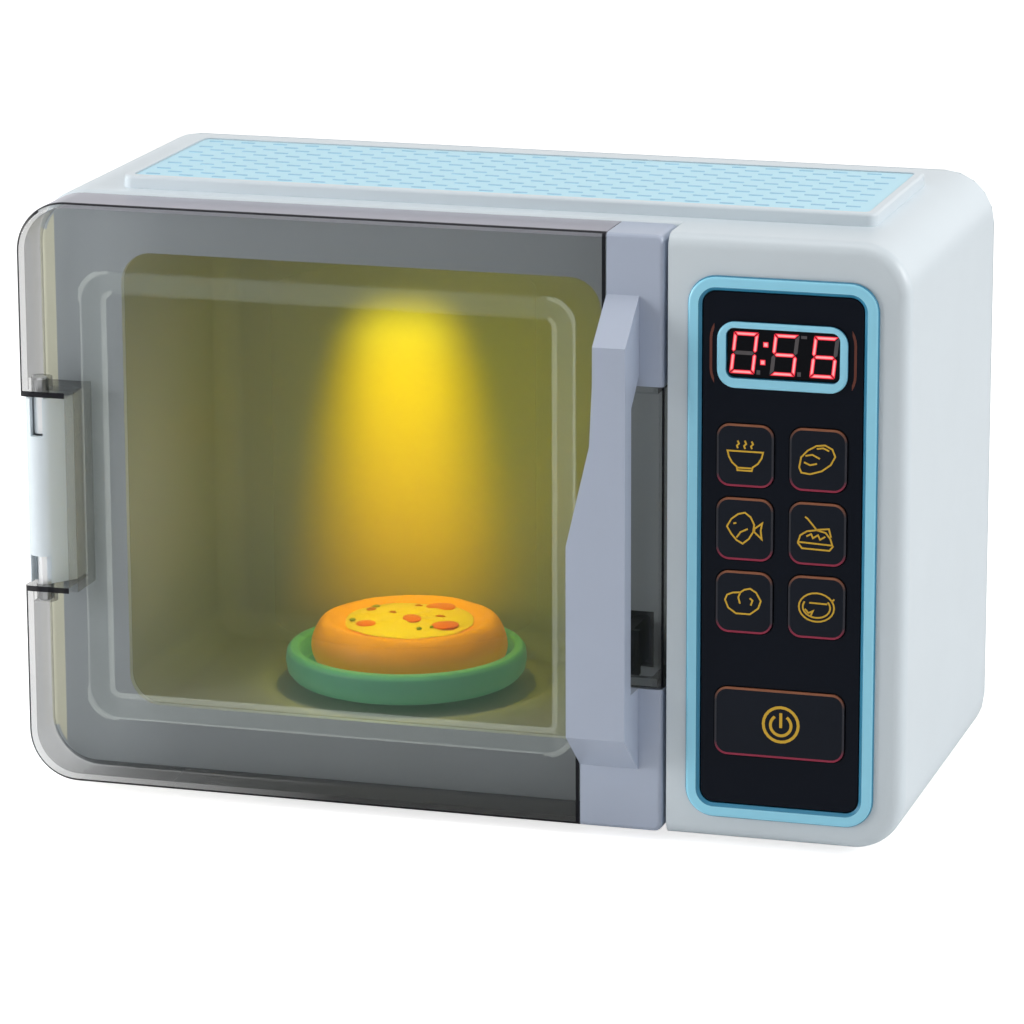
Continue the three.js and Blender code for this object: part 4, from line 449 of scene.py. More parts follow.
# %% The moulded surface group
def moulded_group():
    group, given, end = new_group(
        "moulded_surface",
        {"Colour": (0.8, 0.8, 0.8, 1), "Cloud": 0.04, "Cloud Scale": 40, "Roughness": 0.4,
         "Gloss Wander": 0.06, "Grain Scale": 1800},
        {"Colour": COLOUR, "Roughness": NUMBER, "Height": NUMBER},
    )
    place = own_place(group)
    cloud = calc(group, "SUBTRACT", noise(group, place, given["Cloud Scale"], 4), 0.5)
    light = calc(group, "MULTIPLY_ADD", cloud, given["Cloud"], 1)
    shade = node(group, "HueSaturation", {"Value": light, "Color": given["Colour"]})
    gloss = calc(group, "SUBTRACT", noise(group, place, 90, 3), 0.5)
    rough = calc(group, "MULTIPLY_ADD", gloss, given["Gloss Wander"], given["Roughness"])
    grain = noise(group, place, given["Grain Scale"], 2)
    feed(group, end, {"Colour": shade.outputs["Color"], "Roughness": rough, "Height": grain})
    return group


MOULDED = moulded_group()
print("group:", MOULDED.name, "with", len(MOULDED.nodes), "nodes")

# %% [markdown]
# Colours are written as they are seen, from 0 to 255, and turned into the linear values that a
# shader works with. Each plastic is a Principled shader fed by the group, and a metal is the
# same with its metallic value at one.


# %% Colours
def seen(red, green, blue):
    def linear(value):
        share = value / 255
        return share / 12.92 if share <= 0.04045 else ((share + 0.055) / 1.055) ** 2.4

    return (linear(red), linear(green), linear(blue), 1)


print("white as seen:", [round(value, 3) for value in seen(220, 230, 236)])

# %% Plastic and metal
FINISHES = {}


def insides(finish):
    return finish.node_tree, finish.node_tree.nodes["Principled BSDF"]


def bare_material(name):
    finish = FINISHES[name] = bpy.data.materials.new(name)
    finish.use_nodes = True
    return finish, *insides(finish)


def plastic(name, colour, roughness=0.36, cloud=0.05, grain=0.02, grain_scale=1800, gloss=0.5):
    finish, tree, shader = bare_material(name)
    feeds = {"Colour": seen(*colour), "Cloud": cloud, "Roughness": roughness,
             "Grain Scale": grain_scale}
    made = node(tree, "Group", feeds, node_tree=MOULDED).outputs
    feeds = {"Strength": 0.5, "Distance": grain * MM, "Height": made["Height"]}
    normal = node(tree, "Bump", feeds).outputs["Normal"]
    feed(tree, shader, {"Base Color": made["Colour"], "Roughness": made["Roughness"],
                        "Normal": normal, "Specular IOR Level": gloss})
    return finish


def metal(name, colour, roughness, cloud):
    finish = plastic(name, colour, roughness, cloud, 0.01, 900)
    feed(*insides(finish), {"Metallic": 1})
    return finish


print("finishes so far:", len(FINISHES))

# %% Plastics of the outside
WHITE = plastic("white_plastic", (220, 230, 236), 0.34)
BLUE = plastic("blue_plastic", (158, 230, 255), 0.32)
# A darker blue, used as painted shade on the rounded edges of the blue mouldings.
BLUE_PAINTED_SHADE = plastic("blue_painted_shade", (48, 136, 172), 0.4)
PANEL_BLUE = plastic("panel_blue", (194, 239, 255), 0.42)
# The darker blue of the weave is painted shade beside the little raised dashes.
WEAVE_PAINTED_SHADE = plastic("weave_painted_shade", (158, 208, 234), 0.45)
BLACK = plastic("black_panel", (17, 22, 32), 0.24, 0.12, gloss=0.08)
KEY_BLACK = plastic("key_plastic", (22, 27, 37), 0.3, 0.12, gloss=0.12)
GREY = plastic("grey_plastic", (180, 190, 209), 0.33)
LINER = plastic("liner_plastic", (184, 189, 172), 0.5, 0.1, 0.04, 900)
print("plastics made:", *FINISHES)

# %% [markdown]
# Ink on the keys shines a little, as the photograph's does, and so do a few lit parts. They
# take their glow from the same group as their colour.
# This shine is a painted glow. It is given to the prints, the brackets and the unlit segments as
# well as to the lit segments.


# %% Glowing finishes
def glowing(finish, strength):
    tree, shader = insides(finish)
    surface = next(part for part in tree.nodes if part.type == "GROUP").outputs["Colour"]
    feed(tree, shader, {"Emission Color": surface, "Emission Strength": strength})
    return finish


def ink(name, colour, glow, cloud=0.35):
    return glowing(plastic(name, colour, 0.45, cloud, 0.01, 2500, 0.3), glow)


GOLD = ink("gold_ink", (186, 148, 44), 0.3)
LIT = ink("lit_segment", (255, 142, 146), 0.9)
LIT_EDGE = ink("lit_segment_edge", (226, 44, 62), 0.75)
UNLIT = ink("unlit_segment", (74, 70, 72), 0.25)
BRACKET = ink("bracket_ink", (84, 42, 32), 0.35)
print("inks:", GOLD.name, LIT.name, UNLIT.name, BRACKET.name)

# %% [markdown]
# The door is clear plastic with a smoky tint. A thin tinted wall can be drawn as a surface that
# lets part of what is behind it through: the alpha of the shader does that. Seen at a flat
# angle a real wall reflects more and lets less through, so a Fresnel node raises the alpha
# there. The node takes the back of a surface for the inside of a thick block, so its index is
# turned over there. Where light has to run along the wall, as in a rounded rim, it turns dark.
# The tint can also fade from one place to another across the door.


# %% Smoky plastic
def smoky(name, colour, clear, roughness=0.1, gloss=0.5, fade=None):
    finish = plastic(name, colour, roughness, 0.06, 0.004, 300, gloss)
    tree, shader = insides(finish)
    if fade:
        start, end, clear_at_start = fade
        x = split_place(tree, own_place(tree))["X"]
        ends = spot(start, 0, 0).x, spot(end, 0, 0).x
        clear = stretched(tree, x, *ends, clear_at_start, clear)
    side = node(tree, "NewGeometry").outputs["Backfacing"]
    index = stretched(tree, side, 0, 1, 1.5, 1 / 1.5)
    edge_on = node(tree, "Fresnel", {"IOR": index}).outputs["Fac"]
    opacity = stretched(tree, edge_on, 0.04, 1, clear, 1)
    feed(tree, shader, {"IOR": 1.6, "Alpha": opacity})
    return finish


TINT, TINT_SHARE = (46, 50, 48), 0.29
SMOKY = smoky("smoky_plastic", TINT, TINT_SHARE)
SMOKY_FRONT = smoky("smoky_front", TINT, TINT_SHARE, fade=(0, 45, 0.17))
SMOKY_RIM = smoky("smoky_rim", (12, 12, 20), 0.96, 0.3, 0.1)
# A lighter tint for the window's slope: painted sheen where light falls on it.
SMOKY_SLOPE_SHEEN = smoky("smoky_slope_painted_sheen", (110, 118, 114), 0.32, 0.2)
# A near-white tint for the window's edges: painted highlights.
SMOKY_HIGHLIGHT = smoky("smoky_painted_highlight", (190, 197, 190), 0.34, 0.2)
SMOKY_SIDE = smoky("smoky_side", (72, 74, 80), 0.94, 0.3, 0.2, (14, 90, 0.29))
# A light lilac tint for the top wall: painted light from above.
SMOKY_TOP_LIT = smoky("smoky_top_painted_light", (184, 181, 194), 0.45, 0.3, 0.3)
SMOKY_CLEAR = smoky("smoky_clear", (170, 173, 168), 0.16, 0.3, 0.2)
print("two skins of the wall let", round((1 - TINT_SHARE) ** 2, 2), "through")

# %% [markdown]
# The housing.
# The body is one white moulding: a deep box with rounded corners, whose front steps back on the
# left to make room for the door. Two slabs with rounded fronts are joined, the shallow one over
# the whole width and the deep one on the right, and then hollowed and opened.

# %% Housing sizes
BODY_WIDTH, BODY_HEIGHT, BODY_BACK, BODY_CORNER, WALL = 255, 169, 111.3, 14.5, 2.2
BODY = (0, BODY_WIDTH, 0, BODY_HEIGHT, BODY_CORNER, CORNER_STEPS)
RECESS_RIGHT, RECESS_DEPTH = 188.4, 16.8
FASCIA_BACK = RECESS_DEPTH + WALL
CHAMBER_FLOOR, CHAMBER_CEILING, CHAMBER_BACK = 20, 152, 98
CHAMBER = (25, 165, CHAMBER_FLOOR, CHAMBER_CEILING, 9, CORNER_STEPS)
CONTROL_X, BEZEL_HALF = 220.4, 26.4
BEZEL = (CONTROL_X - BEZEL_HALF, CONTROL_X + BEZEL_HALF, 6.6, 158.4, 8, 10)
BEYOND = 5
print("body:", BODY_WIDTH, "x", BODY_HEIGHT, "x", BODY_BACK, "mm")


# %% Body shell
def left_part(right, back):
    return block("left_part", -BEYOND, right, -BEYOND, back, -BEYOND, BODY_HEIGHT + BEYOND)


shell = slab("shell", BODY, RECESS_DEPTH, BODY_BACK)
round_edges(shell, level(Y, RECESS_DEPTH), 2.5, 5)
control_side = slab("control_side", BODY, 0, BODY_BACK)
round_edges(control_side, level(Y, 0), 4, 7)
cut(control_side, left_part(RECESS_RIGHT, BODY_BACK + BEYOND))
join(shell, control_side)
hollow = slab("hollow", BODY, FASCIA_BACK, BODY_BACK + BEYOND, -WALL)
behind_keys = slab("behind_keys", BODY, WALL, FASCIA_BACK + BEYOND, -WALL)
cut(behind_keys, left_part(RECESS_RIGHT + WALL, BODY_BACK))
cut(shell, hollow, behind_keys)
print("shell:", len(shell.data.polygons), "faces")

# %% Openings in the body
cut(
    shell,
    slab("chamber_hole", CHAMBER, RECESS_DEPTH - BEYOND, FASCIA_BACK + BEYOND),
    slab("control_hole", BEZEL, -BEYOND, WALL + BEYOND, -2),
    block("catch_slot", 172.9, 180.3, RECESS_DEPTH - BEYOND, FASCIA_BACK + BEYOND, 42.7, 58.7),
)
print("openings cut:", len(shell.data.polygons), "faces")

# %% [markdown]
# The plateau on the roof is a low plate with a pocket for the blue panel. The hinge column is
# a barrel on a broad web that stands forward from the fascia, and it fills the door's notch.
# Two slots in its front show the ends of the hinge pins.

# %% Plateau
PLATEAU = (23.3, 240.1, 23.1, 88.2)
PLATEAU_TOP, PLATEAU_RIM, POCKET = 172.6, 2.5, 2.0


def plateau_slab(name, low, high, inset=0):
    left, right, front, back = PLATEAU
    piece = block(name, left + inset, right - inset, front + inset, back - inset, low, high)
    round_edges(piece, along(Z), 3 - inset / 2, 8)
    return piece


plateau = plateau_slab("plateau", BODY_HEIGHT - WALL / 2, PLATEAU_TOP)
round_edges(plateau, level(Z, PLATEAU_TOP), 0.9, 4)
cut(plateau, plateau_slab("pocket", PLATEAU_TOP - POCKET, PLATEAU_TOP + BEYOND, PLATEAU_RIM))
print("plateau:", len(plateau.data.polygons), "faces")

# %% Hinge column
HINGE, HINGE_Y, HINGE_MIDDLE, PIN_RADIUS = (4.6, 4.6), 4.6, 85, 2.5
COLUMN_LOW, COLUMN_HIGH = 58.1, 111.9
COLUMN_LENGTH = COLUMN_HIGH - COLUMN_LOW
WEB = [(0.4, HINGE_Y), (8, 2.14), (12.7, 8.6), (12.7, FASCIA_BACK), (0.4, FASCIA_BACK)]
column = prism("web", WEB, Z, COLUMN_LOW, COLUMN_LENGTH)
join(column, rod("barrel", Z, (*HINGE, HINGE_MIDDLE), 4.2, COLUMN_LENGTH, 64))
cut(
    column,
    rod("pin_bore", Z, (*HINGE, HINGE_MIDDLE), PIN_RADIUS, 70, 24),
    block("upper_slot", 2.75, 6.45, -BEYOND, HINGE_Y, 100.9, 120),
    block("lower_slot", 1.6, 7.6, -BEYOND, HINGE_Y, 50, 66.1),
)
clean(column)
print("column:", round(COLUMN_LENGTH, 1), "mm long")

# %% Finished housing
LIT_STRIP, FOOT_RADIUS = 5.2, 6.3
join(shell, plateau, column)
for x in (24, 231):
    for y in (30, 98):
        cut(shell, rod("foot_socket", Z, (x, y, 0), FOOT_RADIUS, 2))
clean(shell)
# The split marks the strip of the left front edge that gets a painted cream glow.
split(shell, X, LIT_STRIP)
soften(shell, 0.35)
fit(shell, "housing_body", WHITE, "housing", "white_plastic", "housing_shell")

# %% [markdown]
# The blue panel in the roof has a woven look: short raised dashes in rows, each row shifted
# against the last. One dash is modelled, copied over the panel with a mesh of its own each
# time, and the copies are merged into one piece. The dashes take a darker blue than the panel:
# painted shade beside the little raised bars.

# %% Roof panel
PANEL_LOW, PANEL_TOP = 170.9, 172.32
panel = plateau_slab("panel", PANEL_LOW, PANEL_TOP, PLATEAU_RIM + 0.3)
soften(panel, 0.2)
fit(panel, "roof_panel", PANEL_BLUE, "housing", "blue_plastic", "top_panel")

# %% Weave of the panel
DASH_LENGTH, DASH_WIDTH, DASH_PITCH, DASH_ROW, DASH_RISE = 4.2, 1.1, 9.8, 4.4, 0.16
PANEL_LEFT, PANEL_RIGHT, PANEL_FRONT, PANEL_BACK = 27.5, 236, 27.5, 84
dash = block("dash", 0, DASH_LENGTH, 0, DASH_WIDTH, PANEL_TOP - 0.1, PANEL_TOP + DASH_RISE)
round_edges(dash, along(Z), 0.35, 2)
round_edges(dash, level(Z, PANEL_TOP + DASH_RISE), 0.1, 1)


def copy_of(piece, name, x, y):
    twin = bpy.data.objects.new(name, piece.data.copy())
    bpy.context.scene.collection.objects.link(twin)
    twin.data.transform(Matrix.Translation(Vector((x, y, 0)) * MM))
    return twin


dashes, row, y = [], 0, PANEL_FRONT + DASH_WIDTH
while y < PANEL_BACK - DASH_WIDTH:
    x = PANEL_LEFT + (row % 2) * DASH_PITCH / 2 + 1
    while x + DASH_LENGTH < PANEL_RIGHT:
        dashes.append(copy_of(dash, f"dash_{len(dashes)}", x, y))
        x += DASH_PITCH
    y += DASH_ROW
    row += 1
bpy.data.objects.remove(dash)
print("dashes:", len(dashes))
weave = merge("weave", dashes)
smooth(weave)
fit(weave, "roof_weave", WEAVE_PAINTED_SHADE, "housing", "blue_plastic")

# %% [markdown]
# The chamber.
# Behind the fascia hangs a tub of tinted plastic. It is the same slab twice, one a wall's
# thickness smaller, with the edge between walls and back well rounded, and the inner one is cut
# from the outer one.

# %% Chamber tub
LINER_FRONT, LINER_WALL = FASCIA_BACK + 0.3, 1.8
TABLE = (95, 58)
tub = slab("tub", CHAMBER, LINER_FRONT, CHAMBER_BACK + LINER_WALL, LINER_WALL)
round_edges(tub, level(Y, CHAMBER_BACK + LINER_WALL), 9.8, 8)
flange = slab("flange", CHAMBER, LINER_FRONT, LINER_FRONT + LINER_WALL, LINER_WALL + 4)
inner = slab("inner", CHAMBER, LINER_FRONT - BEYOND, CHAMBER_BACK)
round_edges(inner, level(Y, CHAMBER_BACK), 8, 8)
join(tub, flange)
cut(
    tub,
    inner,
    rod("spindle_hole", Z, (*TABLE, CHAMBER_FLOOR), 3.5, 10, 24),
    rod("lamp_hole", Z, (*TABLE, CHAMBER_CEILING), 8.3, 10),
)
clean(tub)
soften(tub, 0.3)
fit(tub, "chamber_tub", LINER, "housing", "liner_plastic", "chamber_liner")

# %% [markdown]
# The door.
# The door is a shallow tray of smoky clear plastic with a window whose border slopes inward.
# The slope is an inset with depth: the face of a slab is made smaller and pushed in at once.
# The same form, set 2.2 mm further back, keeps the wall of the window as thick as the rest.

# %% Door sizes
DOOR_RIGHT, DOOR_LOW, DOOR_HIGH, DOOR_BACK = 187.2, 0.4, 168.4, 16.3
DOOR_FACE, DOOR_WALL = 2.2, 1.8
WINDOW_LEFT, WINDOW_RIGHT, WINDOW_LOW, WINDOW_HIGH = 18.5, 162.4, 19.9, 149.6
WINDOW = (WINDOW_LEFT, WINDOW_RIGHT, WINDOW_LOW, WINDOW_HIGH, 9, CORNER_STEPS)
WINDOW_SLOPE, WINDOW_DEPTH = 6.5, 2.5
print("door:", DOOR_RIGHT, "mm wide,", DOOR_HIGH - DOOR_LOW, "mm high")


# %% Door slabs
def door_slab(name, front, back, inset=0):
    left, right = inset, DOOR_RIGHT - inset
    piece = block(name, left, right, front, back, DOOR_LOW + inset, DOOR_HIGH - inset)
    corners = [(left, BODY_CORNER - inset, CORNER_STEPS), (right, max(2.4 - inset, 0.6), 5)]
    for side, radius, steps in corners:
        def at_side(start, end):
            return along(Y)(start, end) and abs(start.x - side) < 1

        round_edges(piece, at_side, radius, steps)
    return piece


def round_front(piece):
    round_edges(piece, level(Y, 0), 1.5, 4)
    return piece


def window_slab(name, front, back):
    piece = slab(name, WINDOW, front, back)
    inset_face(piece, back, WINDOW_SLOPE, WINDOW_DEPTH)
    return piece


door = round_front(door_slab("door", 0, DOOR_BACK))
print("door slab:", len(door.data.polygons), "faces")


# %% Door tray
def window_edge(height):
    def test(start, end):
        across = WINDOW_LEFT - 1 < start.x < WINDOW_RIGHT + 1
        up = WINDOW_LOW - 1 < start.z < WINDOW_HIGH + 1
        return across and up and level(Y, height)(start, end)

    return test


cut(door, door_slab("door_hollow", DOOR_FACE, DOOR_BACK + BEYOND, DOOR_WALL))
join(door, window_slab("window_back", DOOR_FACE / 2, DOOR_FACE))
cut(door, window_slab("window_front", -BEYOND, 0))
for height in (0, WINDOW_DEPTH):
    round_edges(door, window_edge(height), 0.8, 3, math.radians(10))
print("door tray:", len(door.data.polygons), "faces")

# %% [markdown]
# A notch in the left edge lets the hinge column of the body in. Its ends are closed by thin
# ears that carry the pins, each in a round socket.

# %% Hinge notch
NOTCH_LOW, NOTCH_HIGH, NOTCH_RIGHT, EAR = 57.5, 112.5, 13.5, 1.6
EAR_LOW, EAR_HIGH = NOTCH_LOW - EAR, NOTCH_HIGH + EAR
THROUGH = DOOR_BACK + BEYOND
notch_frame = block(
    "notch_frame", -BEYOND, NOTCH_RIGHT + DOOR_WALL, -BEYOND, DOOR_BACK, EAR_LOW, EAR_HIGH
)
combine(notch_frame, "INTERSECT", round_front(door_slab("whole_door", 0, DOOR_BACK)))
join(door, notch_frame)
cut(door, block("notch", -BEYOND, NOTCH_RIGHT, -BEYOND, THROUGH, NOTCH_LOW, NOTCH_HIGH))
join(
    door,
    rod("lower_socket", Z, (*HINGE, NOTCH_LOW - 2.5), PIN_RADIUS + 1, 5, 32),
    rod("upper_socket", Z, (*HINGE, NOTCH_HIGH + 2.5), PIN_RADIUS + 1, 5, 32),
)
cut(door, rod("pin_hole", Z, (*HINGE, HINGE_MIDDLE), PIN_RADIUS, 80, 24))
print("door with notch:", len(door.data.polygons), "faces")

# %% [markdown]
# Where the pads of the handle wrap the door's right edge, the door is cut back, and a thinner
# wall stands under each pad for its screw.

# %% Door walls under the handle
SKIN, PAST_RIGHT, PAST_TOP, PAST_FOOT = 2.1, 200, 200, -20
SCREW_X, SCREW_RADIUS = 175.5, 1.7
UPPER_STEP, UPPER_STEP_LOW, LOWER_STEP, LOWER_STEP_HIGH = 170.9, 126.2, 163.5, 41.6
cut(
    door,
    block("upper_rebate", UPPER_STEP, PAST_RIGHT, -BEYOND, THROUGH, UPPER_STEP_LOW, PAST_TOP),
    block("lower_rebate", LOWER_STEP, PAST_RIGHT, -BEYOND, THROUGH, PAST_FOOT, LOWER_STEP_HIGH),
)


def under_handle(name, left, low, high):
    core = door_slab(name, SKIN, DOOR_BACK, SKIN)
    combine(core, "INTERSECT", block("zone", left, PAST_RIGHT, 0, 20, low, high))
    cut(core, door_slab("core_hollow", SKIN + DOOR_FACE, THROUGH, SKIN + DOOR_WALL))
    return core


join(
    door,
    under_handle("upper_core", UPPER_STEP - 1, 124, PAST_TOP),
    under_handle("lower_core", LOWER_STEP - 1, PAST_FOOT, 43.8),
)
cut(
    door,
    rod("upper_screw_hole", Y, (SCREW_X, 5, 140.6), SCREW_RADIUS, 10, 20),
    rod("lower_screw_hole", Y, (SCREW_X, 5, 27), SCREW_RADIUS, 10, 20),
)
print("door with steps:", len(door.data.polygons), "faces")

# %% [markdown]
# Before its edges are softened, planes split the door along the ears and the steps, so that
# these can have a finish of their own.

# %% Finished door
STEP_LINE = 1
clean(door)
split(door, Z, EAR_LOW, EAR_HIGH, NOTCH_LOW, NOTCH_HIGH)
split(door, X, NOTCH_RIGHT, UPPER_STEP - STEP_LINE, LOWER_STEP - STEP_LINE)
split(door, Z, UPPER_STEP_LOW, LOWER_STEP_HIGH)
soften(door, 0.25)
fit(door, "door_tray", SMOKY, "door", "smoky_plastic", "door_panel")

# %% [markdown]
# One tint isn't enough for a moulding that is seen edge-on in some places and through two
# walls in others. Each test below names a part of the door by its place and by the way its
# faces look, and the part gets its own smoky finish. Some of these finishes are painted light:
# the window's slope is lighter, its edges carry bright lines as painted highlights, the top
# wall is lighter where light falls on it, and a dark strip beside each handle pad is painted shade.


# %% Tints of the window and the rim
def over_window(place):
    return WINDOW_LEFT < place.x < WINDOW_RIGHT and WINDOW_LOW < place.z < WINDOW_HIGH


# The window's slope gets the lighter tint of painted sheen.
def in_window_slope(place, normal):
    return over_window(place) and 0.2 < abs(normal.y) < 0.985


# The rounded edges of the window's slope get the painted highlight.
def on_window_edge(place, normal):
    front = -0.1 < place.y < WINDOW_DEPTH and 0.945 < abs(normal.y) < 0.999
    side = place.x < 24 + WINDOW_SLOPE or place.z < 24 + WINDOW_SLOPE or place.x > 154
    return over_window(place) and front and side and (place.y < 0.4 or place.y > 2.2)


def at_rim(place, normal):
    on_ear = place.x < NOTCH_RIGHT and place.y < 0.3 and (
        EAR_LOW < place.z < NOTCH_LOW or NOTCH_HIGH < place.z < EAR_HIGH
    )
    steepest = -0.9 if normal.x < -0.3 or normal.z < -0.3 else -0.8
    on_fillet = place.y < 1.5 and steepest < normal.y < -0.05 and not over_window(place)
    return on_ear or on_fillet


def on_front(place, normal):
    return place.y < 3 and abs(normal.y) > 0.9


print("the window is", round(WINDOW_RIGHT - WINDOW_LEFT, 1), "mm wide")


# %% Tints of the walls
def in_notch_wall(place, normal):
    upright = abs(normal.x) > 0.9 and 12 < place.x < 16
    return EAR_LOW < place.z < EAR_HIGH and upright and place.y > 0.5


# The top wall gets the lighter tint of painted light.
def in_top_wall(place, normal):
    return place.z > DOOR_HIGH - DOOR_WALL - 0.3 and abs(normal.z) > 0.7 and place.y > 1.4


def in_bottom_wall(place, normal):
    low = place.z < DOOR_LOW + DOOR_WALL + 0.3 and place.x > 16
    return low and abs(normal.z) > 0.7 and place.y > 1.4


# A 1 mm strip of the door's front beside each pad is made near-black: painted shade of the gap at
# the pad's edge.
def shaded_strip_at_handle_step(place, normal):
    upper = UPPER_STEP - STEP_LINE < place.x < UPPER_STEP + 0.1 and place.z > UPPER_STEP_LOW
    lower = LOWER_STEP - STEP_LINE < place.x < LOWER_STEP + 0.1 and place.z < LOWER_STEP_HIGH
    return (upper or lower) and place.y < DOOR_FACE + 0.1


for finish, test in (
    (SMOKY_FRONT, on_front), (SMOKY_CLEAR, in_notch_wall), (SMOKY_TOP_LIT, in_top_wall),
    (SMOKY_SIDE, in_bottom_wall), (SMOKY_RIM, shaded_strip_at_handle_step), (SMOKY_SLOPE_SHEEN, in_window_slope),
    (SMOKY_HIGHLIGHT, on_window_edge), (SMOKY_RIM, at_rim),
):
    finish_faces(door, finish, test)

# %% [markdown]
# The handle.
# The D-handle is one grey moulding: two pads wrap the door's right edge, and a bowed grip
# joins them. The grip is drawn from the front as one outline and from the side as another, and
# the solid that has both outlines is the part that two extrusions share.


# %% Handle
def pad(name, left, low, high):
    skin = round_front(door_slab(name, 0, DOOR_BACK))
    zone = block("pad_zone", left, PAST_RIGHT, -BEYOND, 20, low, high)
    combine(skin, "INTERSECT", zone)
    cut(skin, door_slab("pad_inside", 2, THROUGH, 2))
    return skin


GRIP_FACE = [
    (163.8, 17.2), (180.4, 17.2), (180.4, 152.5), (171.2, 152.5), (171.2, 129.5),
    (170.4, 112.3), (163.8, 84),
]
GRIP_SIDE = [
    (1, 18.2), (0, 18.2), (-14.5, 30.1), (-14.5, 139.8), (0, 151.5), (1, 151.5), (1, 129.5),
    (0, 129.5), (-8, 122), (-8, 41.6), (1, 41.3),
]
grip = prism("grip", GRIP_FACE, Y, -20, 21)
combine(grip, "INTERSECT", prism("grip_side", GRIP_SIDE, X, 150, 50))
clean(grip)
handle = pad("upper_pad", 171.2, 126.5, PAST_TOP)
join(handle, pad("lower_pad", 163.8, PAST_FOOT, 41.3), grip)
clean(handle)
soften(handle, 1.3, 5, 18)
fit(handle, "door_handle_grip", GREY, "door", "grey_plastic", "door_handle")

# %% [markdown]
# The control side.
# A light blue bezel frames a black plate. The bezel is a rounded slab with its middle cut out;
# its face is 4 mm wide, and its inner edge slopes down to the plate. Its rounded edges take a
# darker blue: painted shade where the edges turn away from the light.

# %% Control bezel
BEZEL_FRONT, BEZEL_FACE = -1.3, 4
bezel = slab("bezel", BEZEL, BEZEL_FRONT, 3)
round_edges(bezel, level(Y, BEZEL_FRONT), 1.1, 6)
slope = slab("bezel_slope", BEZEL, BEZEL_FRONT - 0.2, BEZEL_FRONT, -3.1)
inset_face(slope, BEZEL_FRONT, 0.9, 0.8)
cut(
    bezel,
    slope,
    slab("bezel_hole", BEZEL, -BEYOND, BEYOND, -BEZEL_FACE),
    slab("bezel_rear_room", BEZEL, -0.3, BEYOND, 0.3 - BEZEL_FACE),
)
collar = slab("bezel_collar", BEZEL, -BEYOND, BEYOND, -2.3)
outer = slab("bezel_outer", BEZEL, -0.3, BEYOND + 1, 2)
cut(outer, collar)
cut(bezel, outer)
clean(bezel)
soften(bezel, 0.4, 3)
fit(bezel, "control_frame", BLUE, "housing", "blue_plastic", "control_bezel")
# The steep faces of the bezel get painted shade.
finish_faces(bezel, BLUE_PAINTED_SHADE, lambda place, normal: abs(normal.y) < 0.78)

# %% [markdown]
# Six keys stand in three rows of two, with a wide power key below them. The plate has a hole
# for each, 0.3 mm larger all round, and one for the display.

# %% Places of the keys
KEY_STEP, KEY_ROW, KEY_TOP_ROW, KEY_WIDTH, KEY_HEIGHT = 20.2, 20.5, 109.3, 15.7, 17.2
KEYS = {}
for index, key in enumerate(("soup", "bread", "fish", "roast", "potato", "pie")):
    x = CONTROL_X + (index % 2 - 0.5) * KEY_STEP
    KEYS[key] = (x, KEY_TOP_ROW - index // 2 * KEY_ROW, KEY_WIDTH, KEY_HEIGHT)
KEYS["power"] = (CONTROL_X, 34.5, 36.2, 19.1)
DISPLAY = around(CONTROL_X, 137.1, 36.1, 18.3, 5, 8)
DISPLAY_BAND = 2.6
PLATE_FRONT, PLATE_BACK, KEY_FRONT, KEY_BACK, KEY_GAP = -0.4, 1.6, -0.9, 3, 0.3
print("keys:", *KEYS)


# %% Key plate
def key_slab(name, key, front, back, grow=0):
    return slab(name, around(*KEYS[key], 3.5, 8), front, back, grow)


plate = slab("plate", BEZEL, PLATE_FRONT, PLATE_BACK, -BEZEL_FACE - KEY_GAP)
for key in KEYS:
    cut(plate, key_slab("key_hole", key, -BEYOND, BEYOND, KEY_GAP))
cut(plate, slab("display_hole", DISPLAY, -BEYOND, BEYOND, KEY_GAP - DISPLAY_BAND / 2))
clean(plate)
soften(plate, 0.15)
fit(plate, "key_plate", BLACK, "housing", "black_panel", "control_panel")

# %% [markdown]
# The display ring stands a little proud of the plate and holds a dark glossy pane.


# %% Display ring
def pane_area(radius):
    left, right, low, high = DISPLAY[:4]
    return left + 2.6, right - 2.1, low + 2.8, high - 1.7, radius, 6


RING_FRONT = -1.8
ring = slab("ring", DISPLAY, RING_FRONT, 1.6)
round_edges(ring, level(Y, RING_FRONT), 0.8, 4)
cut(ring, slab("ring_hole", pane_area(2.2), -BEYOND, BEYOND))
behind_ring = slab("behind_ring", DISPLAY, -0.7, BEYOND, 2)
cut(behind_ring, slab("ring_collar", DISPLAY, -BEYOND, BEYOND + 1, -DISPLAY_BAND / 2))
cut(ring, behind_ring)
clean(ring)
soften(ring, 0.35, 3)
fit(ring, "display_ring", BLUE, "housing", "blue_plastic", "display_bezel")
# The steep faces of the display ring get painted shade.
finish_faces(ring, BLUE_PAINTED_SHADE, lambda place, normal: abs(normal.y) < 0.5)

# %% Display pane
PANE_FRONT, PANE_GAP = -0.6, 0.15
PANE = plastic("display_pane", (10, 12, 18), 0.08, 0.1, 0.003, 300, 0.1)
pane = slab("pane", pane_area(2.2 + PANE_GAP), PANE_FRONT, 0.6, -PANE_GAP)
soften(pane, 0.2)
fit(pane, "display_pane", PANE, "housing", "display_pane", "display_window")

# %% [markdown]
# Seven keys stand in the holes of the plate, all from the same slab with a rounded front edge.

# %% Keys
for key in KEYS:
    cap = key_slab("cap", key, KEY_FRONT, KEY_BACK)
    round_edges(cap, level(Y, KEY_FRONT), 0.6, 4)
    smooth(cap, 40)
    fit(cap, f"{key}_cap", KEY_BLACK, f"{key}_key", "key_plastic", f"key_{key}")

# %% [markdown]
# The prints are layers of ink less than a tenth of a millimetre thick. A stroke is a line drawn
# on the surface and pushed back a little, which gives a ribbon standing on its edge, and the
# Solidify modifier then gives the ribbon the width of the stroke.

